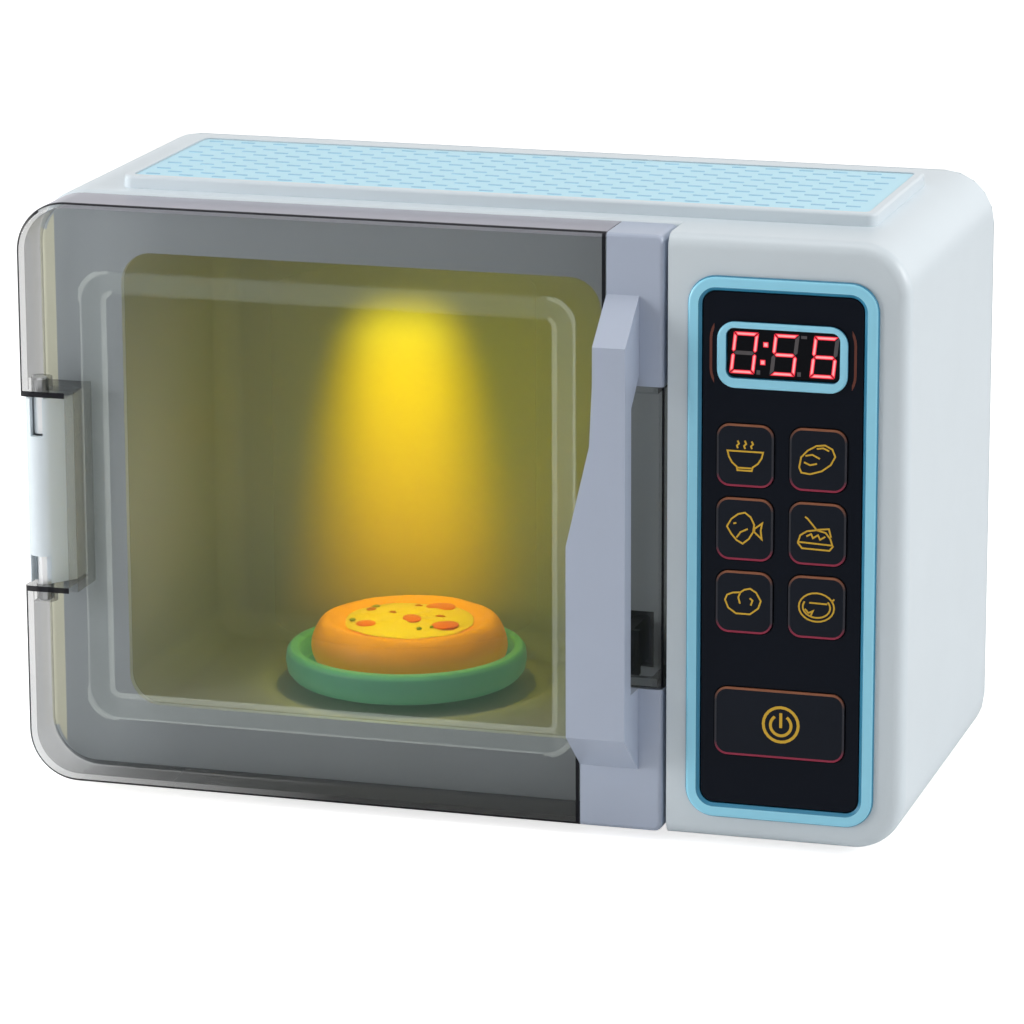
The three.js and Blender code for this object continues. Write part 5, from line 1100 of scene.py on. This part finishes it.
# %% Printed strokes
INK = 0.06


def stroke(points, width, face):
    ribbon = line("stroke", [spot(x, face - INK, z) for x, z in points])
    edit(ribbon)
    bpy.ops.mesh.remove_doubles(threshold=0.01 * MM)
    done()
    pushed(ribbon, Y, INK * 1.5)
    apply(ribbon, "SOLIDIFY", thickness=width * MM, offset=0, use_even_offset=True)
    return ribbon


def oval(x, z, across, up, start=0, end=360, steps=24):
    turns = [math.radians(start + (end - start) * step / steps) for step in range(steps + 1)]
    return [(x + across * math.cos(turn), z + up * math.sin(turn)) for turn in turns]


def closed(points):
    return [*points, points[0]]


print("ink stands", INK, "mm proud")

# %% [markdown]
# Each food key carries a little line drawing: a bowl of soup, a loaf, a fish, a roast with its
# bone, a potato and a pie. The points are millimetres from the middle of the key.

# %% Drawings
DRAWINGS = {
    "soup": [
        closed([(-4.9, 1.2), (-4.5, -0.4), (-3.6, -2), (-2.3, -3.1), (-2.1, -4.1), (1.9, -4.1),
                (2.1, -3.1), (3.6, -2), (4.6, -0.4), (5, 1.2)]),
        [(-2.2, -3.4), (2, -3.4)],
        [(-2, 2), (-2.3, 2.7), (-1.7, 3.3), (-2.1, 4.1)],
        [(0, 1.9), (-0.3, 2.7), (0.3, 3.3), (-0.1, 4.2)],
        [(1.9, 2), (1.6, 2.7), (2.2, 3.3), (1.8, 4.1)],
    ],
    "bread": [
        closed([(-5.2, -2.2), (-4.7, 0.6), (-2.9, 2.6), (-0.5, 4), (1.9, 4.3), (3.9, 3.3),
                (4.7, 1.3), (3.5, -1), (1, -2.9), (-2.2, -3.9), (-4.6, -3.6)]),
        [(-3.5, 1.1), (-1.6, 1.5), (0.5, 0.5)],
        [(-3.9, -0.7), (-2.2, -1.4), (-0.3, -0.9)],
        [(-0.4, 3.2), (1.4, 3.5), (3, 2.8)],
    ],
    "fish": [
        closed([(-4.9, 0.6), (-3.7, 2.7), (-1.8, 4.2), (0.1, 4.7), (1.7, 3.5), (2.7, 1.5),
                (2.4, -0.6), (1.2, -2.6), (-0.5, -4), (-2.2, -3.1), (-3.7, -1.4)]),
        closed([(2.8, 0.4), (4.9, 2), (4.5, -0.1), (4.8, -2.4), (2.7, -0.5)]),
        [(-3.1, 1.5), (-2.3, 1.7)],
        [(0.9, 0.2), (-1.1, -0.8), (-2.2, -2.4)],
    ],
    "roast": [
        closed([(-5.3, -2.4), (-4.7, -0.5), (-2.9, 0.7), (-0.2, 1.2), (2.3, 0.6), (3.6, -1),
                (4.2, -2.8)]),
        [(-3.4, 4.7), (-2.7, 4.2), (-0.2, 1.3)],
        [(-0.2, 1.3), (3.2, 1.7), (3.8, -0.6)],
        [(-5.4, -2.6), (-4.2, -4.1), (3.4, -4.3), (4.5, -2.9)],
        [(-3, -0.7), (-1.7, 0), (-1.2, -1.1), (0.2, -0.2), (0.8, -1.4), (2.2, -0.5)],
    ],
    "potato": [
        closed([(-5.3, 0.5), (-4.7, 1.9), (-3.1, 2.6), (-1, 2.8), (0.1, 3.6), (1.7, 4), (3.4, 3),
                (4.7, 0.7), (4, -1.4), (1.7, -3.2), (-2.2, -3.2), (-4.4, -1.7)]),
        [(-1, 2.8), (-1.6, 1.4), (-1.1, -0.4)],
        [(1.6, 1.3), (2.4, 0.7), (1.9, -0.7)],
    ],
    "pie": [
        closed(oval(0, 0.1, 4.9, 4)),
        oval(0, 0.1, 3.8, 2.9, 150, 395),
        [(-2, 1.3), (3, 1.2)],
        [(4.2, 2), (4.9, 2.7)],
        [(-3.2, -0.5), (-2.2, -1.6), (-1, -1), (-1.6, -2.4)],
    ],
    "power": [
        closed(oval(0.5, 0, 4.9, 4.9)),
        oval(0.5, -0.2, 2.9, 2.9, 125, 415),
        [(0.5, 3.3), (0.5, -0.9)],
    ],
}
print("drawings:", len(DRAWINGS))

# %% Drawings on the keys
for key, drawing in DRAWINGS.items():
    x, z = KEYS[key][:2]
    width = 0.8 if key == "power" else 0.45
    strokes = [
        stroke([(x + right, z + up) for right, up in points], width, KEY_FRONT)
        for points in drawing
    ]
    fit(merge("strokes", strokes), f"{key}_drawing", GOLD, f"{key}_key", "key_plastic")

# %% [markdown]
# A thin printed line runs round every key, and painted light lies on it: it glows brown along
# the top and crimson along the bottom, where light catches the edges of the key's gap, and the
# sides stay almost dark, so one material fades from one to the other with the height.


# %% Printed line with painted light that changes with the height
def ramped(tree, share, stops):
    ramp = node(tree, "ValToRGB", {"Fac": share})
    elements = ramp.color_ramp.elements
    for index, (place, colour) in enumerate(stops):
        stop = elements[index] if index < 2 else elements.new(1)
        stop.position, stop.color = place, colour
    return ramp.outputs["Color"]


RIM_STOPS = [
    (0, (138, 40, 64)), (0.06, (122, 38, 60)), (0.2, (36, 36, 43)), (0.8, (34, 36, 42)),
    (0.95, (106, 66, 50)), (1, (134, 84, 60)),
]


def rim_print_and_light(middle, half):
    finish = ink(f"rim_{middle}", (50, 46, 52), 0.22)
    tree, shader = insides(finish)
    z = split_place(tree, own_place(tree))["Z"]
    low, high = spot(0, 0, middle - half).z, spot(0, 0, middle + half).z
    stops = [(place, seen(*colour)) for place, colour in RIM_STOPS]
    colour = ramped(tree, stretched(tree, z, low, high, 0, 1), stops)
    feed(tree, shader, {"Base Color": colour, "Emission Color": colour})
    return finish


print("stops in the fade:", len(RIM_STOPS))

# %% Lines round the keys
rims = {}
for key, (_, middle, _, height) in KEYS.items():
    if middle not in rims:
        rims[middle] = rim_print_and_light(middle, height / 2)
    rim = key_slab("rim", key, KEY_FRONT - 0.03, KEY_FRONT + 0.6, 0.04)
    cut(rim, key_slab("rim_hole", key, -BEYOND, BEYOND, -0.52))
    fit(rim, f"{key}_rim", rims[middle], f"{key}_key", "key_plastic")
print("rim colours:", len(rims))

# %% [markdown]
# The display shows a time in seven-segment digits that lean to the right. Three shapes of
# segment are enough, because the others are their mirror images.

# %% Segments
DIGIT_WIDTH, DIGIT_HEIGHT, HALF, LEAN, SLIT = 5.9, 10.5, 0.52, 0.11, 0.16
MIDDLE_BAR = DIGIT_HEIGHT / 2
TOP_BAR = [
    (-HALF + SLIT, DIGIT_HEIGHT + HALF), (DIGIT_WIDTH + HALF - SLIT, DIGIT_HEIGHT + HALF),
    (DIGIT_WIDTH - HALF - SLIT, DIGIT_HEIGHT - HALF), (HALF + SLIT, DIGIT_HEIGHT - HALF),
]
CENTRE_BAR = [
    (SLIT, MIDDLE_BAR), (HALF + SLIT, MIDDLE_BAR + HALF),
    (DIGIT_WIDTH - HALF - SLIT, MIDDLE_BAR + HALF), (DIGIT_WIDTH - SLIT, MIDDLE_BAR),
    (DIGIT_WIDTH - HALF - SLIT, MIDDLE_BAR - HALF), (HALF + SLIT, MIDDLE_BAR - HALF),
]
UPPER_LEFT = [
    (-HALF, DIGIT_HEIGHT + HALF - SLIT), (HALF, DIGIT_HEIGHT - HALF - SLIT),
    (HALF, MIDDLE_BAR + HALF + SLIT), (0, MIDDLE_BAR + SLIT), (-HALF, MIDDLE_BAR + HALF + SLIT),
]


def turned_over(points, sideways, upside_down):
    return [
        (DIGIT_WIDTH - x if sideways else x, DIGIT_HEIGHT - z if upside_down else z)
        for x, z in points
    ]


SEGMENTS = {
    "a": TOP_BAR, "d": turned_over(TOP_BAR, False, True), "g": CENTRE_BAR, "f": UPPER_LEFT,
    "b": turned_over(UPPER_LEFT, True, False), "e": turned_over(UPPER_LEFT, False, True),
    "c": turned_over(UPPER_LEFT, True, True),
}
print("segments:", "".join(SEGMENTS))

# %% Digits
DIGIT_LOW, INK_FRONT = 132.4, PANE_FRONT - INK
DIGITS = [(206.2, "abcdef"), (217.35, "acdfg"), (228.3, "acdefg")]
DOTS = [
    (215.7, 140.2, 0.72, 0.72, True), (214.9, 135.3, 0.72, 0.72, True),
    (213.7, 132.5, 0.5, 0.6, False), (224.9, 132.6, 0.5, 0.6, False),
    (226.2, 142.8, 0.8, 0.4, False),
]
lit, dim = [], []
for left, letters in DIGITS:
    for letter, points in SEGMENTS.items():
        placed = [(left + x + LEAN * z, DIGIT_LOW + z) for x, z in points]
        bar = prism("bar", placed, Y, INK_FRONT, INK * 1.5)
        (lit if letter in letters else dim).append(bar)
for x, z, across, up, glows in DOTS:
    dot = block("dot", x - across, x + across, INK_FRONT, PANE_FRONT + INK / 2, z - up, z + up)
    (lit if glows else dim).append(dot)
print("lit:", len(lit), "dim:", len(dim))

# %% Inks of the display
digits = merge("digits", lit)
fit(digits, "display_digits", LIT_EDGE, "housing", "display_pane")
inset_face(digits, INK_FRONT, 0.26, 0, use_individual=True)
digits.data.materials.append(LIT)
for face in digits.data.polygons:
    face.material_index = int(face.select)
fit(merge("dim", dim), "display_dim_segments", UNLIT, "housing", "display_pane")

# %% Brackets beside the display
bracket = slab("bracket", DISPLAY, PLATE_FRONT - INK, PLATE_FRONT + INK, 2.2)
cut(bracket, slab("bracket_hole", DISPLAY, -BEYOND, BEYOND, 1.5))
cut(bracket, block("middle", CONTROL_X - 19, CONTROL_X + 19, -BEYOND, BEYOND, 100, 160))
fit(bracket, "display_bracket", BRACKET, "housing", "black_panel")

# %% [markdown]
# The turntable.
# Plates and crusts are turned forms. Half a section is drawn as a row of points on one side of
# the axis, and the spin operator sweeps it round.


# %% Turned forms
ROUND_STEPS = 96


def turned(name, centre, profile, steps=ROUND_STEPS):
    x, y = centre
    piece = line(name, [spot(x + radius, y, z) for radius, z in profile])
    edit(piece)
    bpy.ops.mesh.spin(steps=steps, angle=math.tau, center=spot(x, y, 0), axis=(0, 0, 1))
    bpy.ops.mesh.select_all(action="SELECT")
    bpy.ops.mesh.remove_doubles(threshold=0.01 * MM)
    bpy.ops.mesh.normals_make_consistent(inside=False)
    done()
    return piece


def edge_profile(radius, low, high, edge):
    return [(0, low), *((radius * out, low + up * (high - low)) for out, up in edge)]


print("one step of a turned form:", 360 / ROUND_STEPS, "degrees")

# %% Turntable plate
# The plate glows faintly: painted light from the ceiling lamp on the green plastic.
GREEN = glowing(plastic("green_plastic", (112, 198, 156), 0.33), 0.15)
DISH_RADIUS, DISH_LOW, DISH_HIGH, DISH_WELL = 35, 22, 31.7, 25.8
DISH_EDGE = [(0.86, 0), (0.94, 0.1), (0.985, 0.3), (1, 0.6), (0.993, 0.88), (0.965, 1)]
profile = edge_profile(DISH_RADIUS, DISH_LOW, DISH_HIGH, DISH_EDGE)
profile += [(31.7, DISH_HIGH), (31, DISH_HIGH - 0.3), (30, DISH_WELL), (0, DISH_WELL)]
dish = turned("dish", TABLE, profile)
soften(dish, 0.5, 3, 30)
fit(dish, "turntable_dish", GREEN, "turntable", "green_plastic", "turntable_plate")

# %% [markdown]
# Nothing baked is quite round. The turned crust and cheese are shaken a little, with a fixed
# seed, and a Subdivision Surface then rounds them.


# %% Pizza crust and cheese
def roughen(piece, amount, seed):
    edit(piece)
    bpy.ops.transform.vertex_random(offset=amount * MM, uniform=1, seed=seed)
    done()
    apply(piece, "SUBSURF", levels=2)
    smooth(piece, 180)


# The crust glows a little: painted light from the ceiling lamp on its front.
CRUST = glowing(plastic("crust_plastic", (243, 164, 26), 0.45, 0.25, 0.15, 500), 0.3)
CHEESE = plastic("topping_plastic", (248, 222, 50), 0.42, 0.2, 0.2, 380)
PIZZA, CRUST_LOW, CRUST_HIGH, CRUST_RADIUS, DIP = (96, 58), 26.1, 40.3, 28.8, 2.4
CRUST_EDGE = [
    (0.86, 0), (0.96, 0.12), (1, 0.38), (0.98, 0.66), (0.91, 0.9), (0.84, 1), (0.76, 0.94),
]
profile = edge_profile(CRUST_RADIUS, CRUST_LOW, CRUST_HIGH, CRUST_EDGE)
profile += [(20, CRUST_HIGH - DIP), (0, CRUST_HIGH - DIP)]
crust = turned("crust", PIZZA, profile, 40)
roughen(crust, 0.3, 3)
fit(crust, "crust_ring", CRUST, "pizza", "crust_plastic", "pizza_crust")
profile = [(0, 38.2), (19, 38.2), (19.4, 38.9), (17, 39.6), (11, 40), (5, 40.1), (0, 40.1)]
cheese = turned("cheese", PIZZA, profile, 28)
roughen(cheese, 0.5, 5)
fit(cheese, "cheese_top", CHEESE, "pizza", "topping_plastic", "pizza_topping")

# %% [markdown]
# On the cheese lie flat slices and a few green and brown crumbs, each a squashed ball.

# %% Places of the slices and crumbs
SLICE = plastic("slice_plastic", (238, 112, 24), 0.4, 0.3, 0.05, 600)
HERB = plastic("herb_plastic", (120, 150, 30), 0.5, 0.3, 0.05, 600)
SPICE = plastic("spice_plastic", (190, 92, 30), 0.5, 0.3, 0.05, 600)
SLICES = [
    (5.3, 13.2, 4.4, 4.6, 20), (1.4, -2, 2.7, 4.2, -25), (12.4, -5.2, 3.9, 4.4, 15),
    (-9.9, -9.6, 3.2, 3.2, 10),
]
CRUMBS = [
    (-13.2, 9.4, 1.3, 1.7, HERB), (-15.4, -6, 0.9, 1.2, HERB), (6.4, -11, 0.8, 1, HERB),
    (9.4, -8.6, 0.6, 0.9, HERB), (-13.4, 5.6, 1.4, 1.9, SPICE), (8.6, 2.6, 1.6, 0.6, SPICE),
    (-1, 12.4, 1.2, 0.5, SPICE), (-6, 3, 1.1, 0.5, SPICE),
]
print("slices:", len(SLICES), "crumbs:", len(CRUMBS))

# %% Toppings on the cheese
CHEESE_TOP, CHEESE_RADIUS, CHEESE_FALL = 40.15, 19, 0.9


def squashed(name, right, back, half_width, half_depth, rise, turn=0):
    fall = CHEESE_FALL * (math.hypot(right, back) / CHEESE_RADIUS) ** 3
    place = spot(PIZZA[0] + right, PIZZA[1] + back, CHEESE_TOP - fall)
    take(None)
    bpy.ops.mesh.primitive_uv_sphere_add(segments=20, ring_count=10, radius=1, location=place)
    bpy.context.object.scale = Vector((half_width, half_depth, rise)) * MM
    piece = settle(name)
    bpy.ops.transform.rotate(value=math.radians(turn), orient_axis="Z", center_override=place)
    settle(name)
    smooth(piece, 180)
    return piece


slices = [squashed("slice", *values[:4], 0.5, values[4]) for values in SLICES]
fit(merge("slices", slices), "pizza_slices", SLICE, "pizza", "topping_plastic")
for index, (*values, finish) in enumerate(CRUMBS):
    crumb = squashed("crumb", *values, 0.45)
    fit(crumb, f"crumb_{index}", finish, "pizza", "topping_plastic")

# %% [markdown]
# The ceiling lamp.
# A small domed lens hangs through the ceiling. It gives its own warm light.

# %% Lamp lens
LENS = glowing(plastic("lens_plastic", (214, 208, 168), 0.3, 0.04, 0), 0.12)
profile = [
    (0, 144), (3, 144.6), (6, 147), (7.6, 150.4), (8, 154.1), (10, 154.1), (10, 155.6),
    (7, 155.6), (7, 154), (6.6, 150.6), (5.2, 147.8), (2.6, 145.6), (0, 145.1),
]
lens = turned("lens", TABLE, profile, 48)
smooth(lens, 40)
fit(lens, "lamp_dome", LENS, "housing", "lens_plastic", "lamp_lens")

# %% [markdown]
# The white wall is thin enough to carry some of the lamp's light to the body's left front edge,
# which glows cream behind the smoky door. That glow is painted light, given to the edge's faces.

# %% Glowing edge
CREAM_PAINTED_GLOW = ink("lit_white_plastic", (240, 240, 216), 0.26, 0.06)


def at_left_front_edge(place, normal):
    in_strip = place.x < LIT_STRIP and RECESS_DEPTH - 0.1 < place.y < RECESS_DEPTH + 2.7
    return in_strip and normal.y < 0.05 and 12 < place.z < 157


finish_faces(shell, CREAM_PAINTED_GLOW, at_left_front_edge)

# %% [markdown]
# Carried-over solids.
# What sits inside or behind keeps its own shape and only gets its finish, which has the same
# name as its slot in the record. Only the two hinge pins, which show, get a brighter steel.

# %% Finishes of the inner solids
plastic("dark_plastic", (36, 38, 42), 0.5, 0.1)
plastic("nylon", (226, 221, 205), 0.5)
plastic("foot_rubber", (38, 39, 41), 0.85, 0.15, 0.05, 1200)
plastic("circuit_board", (38, 98, 60), 0.42, 0.16, 0.02, 700)
plastic("cell_sleeve", (52, 62, 84), 0.3, 0.08)
metal("screw_steel", (196, 198, 202), 0.3, 0.12)
metal("contact_steel", (196, 190, 176), 0.32, 0.1)
metal("motor_steel", (158, 160, 164), 0.38, 0.14)
metal("pin_steel", (236, 237, 238), 0.42, 0.06)
print("finishes made:", len(FINISHES))

# %% Giving out the finishes
for name in frame["nodes"]:
    for place in bpy.data.objects[name].material_slots:
        place.material = FINISHES[place.material.name.split(".")[0]]
for name in ("hinge_pin_upper", "hinge_pin_lower"):
    bpy.data.objects[name].material_slots[0].material = FINISHES["pin_steel"]
print("solids with a finish:", len(frame["nodes"]))

# %% [markdown]
# The photograph's view.
# The camera stands where it stood for the photograph, to the right and a little above. Its
# place, its three directions and its lens were worked out from the edges of the toy.

# %% Camera
def placed(name, data, place=(0, 0, 0)):
    holder = bpy.data.objects.new(name, data)
    bpy.context.scene.collection.objects.link(holder)
    holder.location = place
    return holder


EYE = Vector((0.40419, -1.35099, 0.43702))
FORWARD = Vector((-0.27638, 0.92877, -0.24700))
RIGHT = Vector((0.95871, 0.28435, -0.00353))
UP = Vector((-0.06696, 0.23778, 0.96901))
SENSOR, FOCAL_PIXELS, PHOTO_PIXELS = 36, 5107.29, 1024
eye = placed("camera", bpy.data.cameras.new("camera"))
eye.data.sensor_width = SENSOR
eye.data.lens = SENSOR * FOCAL_PIXELS / PHOTO_PIXELS
rows = [(RIGHT[axis], UP[axis], -FORWARD[axis], EYE[axis]) for axis in range(3)]
eye.matrix_world = Matrix([*rows, (0, 0, 0, 1)])
bpy.context.scene.camera = eye
print("lens:", round(eye.data.lens, 2), "mm")

# %% [markdown]
# The toy stands on a white table in soft light that comes mostly from the right and from above.


# %% Lamps
def lamp(name, place, target, size, power):
    light = bpy.data.lights.new(name, "AREA")
    light.shape, light.size, light.energy = "DISK", size, power
    aim = Vector(target) - Vector(place)
    placed(name, light, place).rotation_euler = aim.to_track_quat("-Z", "Y").to_euler()


MIDDLE = (0, 0, 0.08)
lamp("key_lamp", (1.5, 0.1, 0.8), MIDDLE, 0.8, 13.5)
lamp("top_lamp", (0.1, -0.1, 1.6), MIDDLE, 1.0, 7.5)
lamp("left_lamp", (-1.5, -0.25, 0.4), MIDDLE, 0.6, 9)
lamp("near_lamp", (-0.35, -0.35, 0.2), (-0.06, 0, 0.08), 0.2, 0.72)
print("lamps:", len(bpy.data.lights))

# %% [markdown]
# The ceiling lamp of the toy is a spot that looks down at the pizza, and a faint point light
# stands for what the chamber's walls throw back.


# %% Light in the chamber
def inner_light(name, kind, place, power, colour):
    light = bpy.data.lights.new(name, kind)
    light.energy, light.color, light.shadow_soft_size = power, colour, 0.004
    placed(name, light, place).visible_glossy = False
    return light


bulb = inner_light("bulb", "SPOT", spot(*TABLE, 142), 0.46, (1.0, 0.8, 0.3))
bulb.spot_size = math.radians(44)
bulb.spot_blend = 0.9
inner_light("chamber_glow", "POINT", spot(95, 27, 84), 0.072, (1.0, 0.92, 0.7))
print("cone of the bulb:", round(math.degrees(bulb.spot_size)), "degrees")

# %% [markdown]
# The photograph shows the light itself as a yellow cone. It is a cone of glowing air: a volume
# that gives off yellow light, swallows blue, and fades towards its side and its foot. It is
# light and no piece of the toy, so it stands for nothing in the imported model.


# %% Shape of the beam
def beam_shape_group(top, foot, top_radius, foot_radius):
    group, _, end = new_group("beam_shape", {}, {"Strength": NUMBER, "Depth": NUMBER})
    feeds = {0: own_place(group), 1: spot(*TABLE, 0)}
    centred = node(group, "VectorMath", feeds, operation="SUBTRACT").outputs[0]
    x, y, z = split_place(group, centred)
    flat = node(group, "CombineXYZ", {"X": x, "Y": y}).outputs["Vector"]
    away = node(group, "VectorMath", {0: flat}, operation="LENGTH").outputs["Value"]
    depth = stretched(group, z, top * MM, foot * MM, 0, 1)
    widening = (foot_radius - top_radius) * MM
    root = calc(group, "SQRT", depth)
    radius = calc(group, "MULTIPLY_ADD", root, widening, top_radius * MM)
    share = calc(group, "DIVIDE", away, radius)
    side = stretched(group, share, 0.2, 1, 1, 0, interpolation_type="SMOOTHSTEP")
    foot_fade = stretched(group, depth, 0.3, 1, 1, 0.24)
    top_fade = stretched(group, depth, 0, 0.14, 0, 1)
    fade = calc(group, "MULTIPLY", side, calc(group, "MULTIPLY", foot_fade, top_fade))
    strength = calc(group, "DIVIDE", fade, radius)
    feed(group, end, {"Strength": strength, "Depth": depth})
    return group


BEAM_TOP, BEAM_FOOT, BEAM_RADIUS = 137, 41, 39
BEAM_SHAPE = beam_shape_group(BEAM_TOP, BEAM_FOOT, 14, BEAM_RADIUS + 4)
print("beam:", BEAM_TOP - BEAM_FOOT, "mm high")

# %% [markdown]
# The glow is shown to the camera alone, so the beam doesn't light the toy a second time. Its
# colour goes from lemon at the lamp to orange at the foot.


# %% Beam of light
def beam_material(glow, haze):
    finish, tree, shader = bare_material("beam_of_light")
    tree.nodes.remove(shader)
    shape = node(tree, "Group", node_tree=BEAM_SHAPE).outputs
    stops = [(0, (1, 0.86, 0.12, 1)), (0.25, (1, 0.66, 0, 1)), (1, (1, 0.42, 0, 1))]
    camera_ray = node(tree, "LightPath").outputs["Is Camera Ray"]
    strength = calc(tree, "MULTIPLY", shape["Strength"], stretched(tree, camera_ray, 0, 1, 0, glow))
    feeds = {"Color": ramped(tree, shape["Depth"], stops), "Strength": strength}
    giving = node(tree, "Emission", feeds).outputs[0]
    feeds = {"Color": (1, 1, 0, 1), "Density": calc(tree, "MULTIPLY", shape["Strength"], haze)}
    taking = node(tree, "VolumeAbsorption", feeds).outputs[0]
    both = node(tree, "AddShader", {0: giving, 1: taking}).outputs[0]
    feed(tree, tree.nodes["Material Output"], {"Volume": both})
    return finish


BEAM_MIDDLE = (BEAM_TOP + BEAM_FOOT) / 2
BEAM_HEIGHT = BEAM_TOP - BEAM_FOOT
beam = rod("light_beam", Z, (*TABLE, BEAM_MIDDLE), BEAM_RADIUS - 1, BEAM_HEIGHT, 32)
beam.data.materials.append(beam_material(1.35, 4.5))
print("beam:", len(beam.data.polygons), "faces")

# %% [markdown]
# The background is white to the eye and to reflections, and gives the toy itself only a faint
# even light. The table is a pale surface that glows for the camera alone, so it looks white and
# still keeps the toy's shadow.


# %% White surroundings
def white_surroundings(even_light):
    world = bpy.data.worlds.new("studio")
    bpy.context.scene.world = world
    world.use_nodes = True
    tree = world.node_tree
    rays = node(tree, "LightPath").outputs
    direct = calc(tree, "MAXIMUM", rays["Is Camera Ray"], rays["Is Glossy Ray"])
    either = calc(tree, "MAXIMUM", direct, rays["Is Transmission Ray"])
    strength = stretched(tree, either, 0, 1, even_light, 1)
    feed(tree, tree.nodes["Background"], {"Color": (1, 1, 1, 1), "Strength": strength})


white_surroundings(0.22)
print("world:", bpy.context.scene.world.name)


# %% Table top
def table_material():
    finish, tree, shader = bare_material("white_table")
    camera_ray = node(tree, "LightPath").outputs["Is Camera Ray"]
    glow = stretched(tree, camera_ray, 0, 1, 0, 0.75)
    feed(tree, shader, {"Base Color": (0.8, 0.8, 0.8, 1), "Roughness": 0.6,
                        "Emission Color": (1, 1, 1, 1), "Emission Strength": glow})
    return finish


take(None)
bpy.ops.mesh.primitive_plane_add(size=8, location=(0, 0, -0.0002))
floor = bpy.context.object
floor.name = "table_top"
floor.data.materials.append(table_material())
print("table:", floor.dimensions.x, "m wide")

# %% View settings and size
scene = bpy.context.scene
scene.view_settings.view_transform = "Standard"
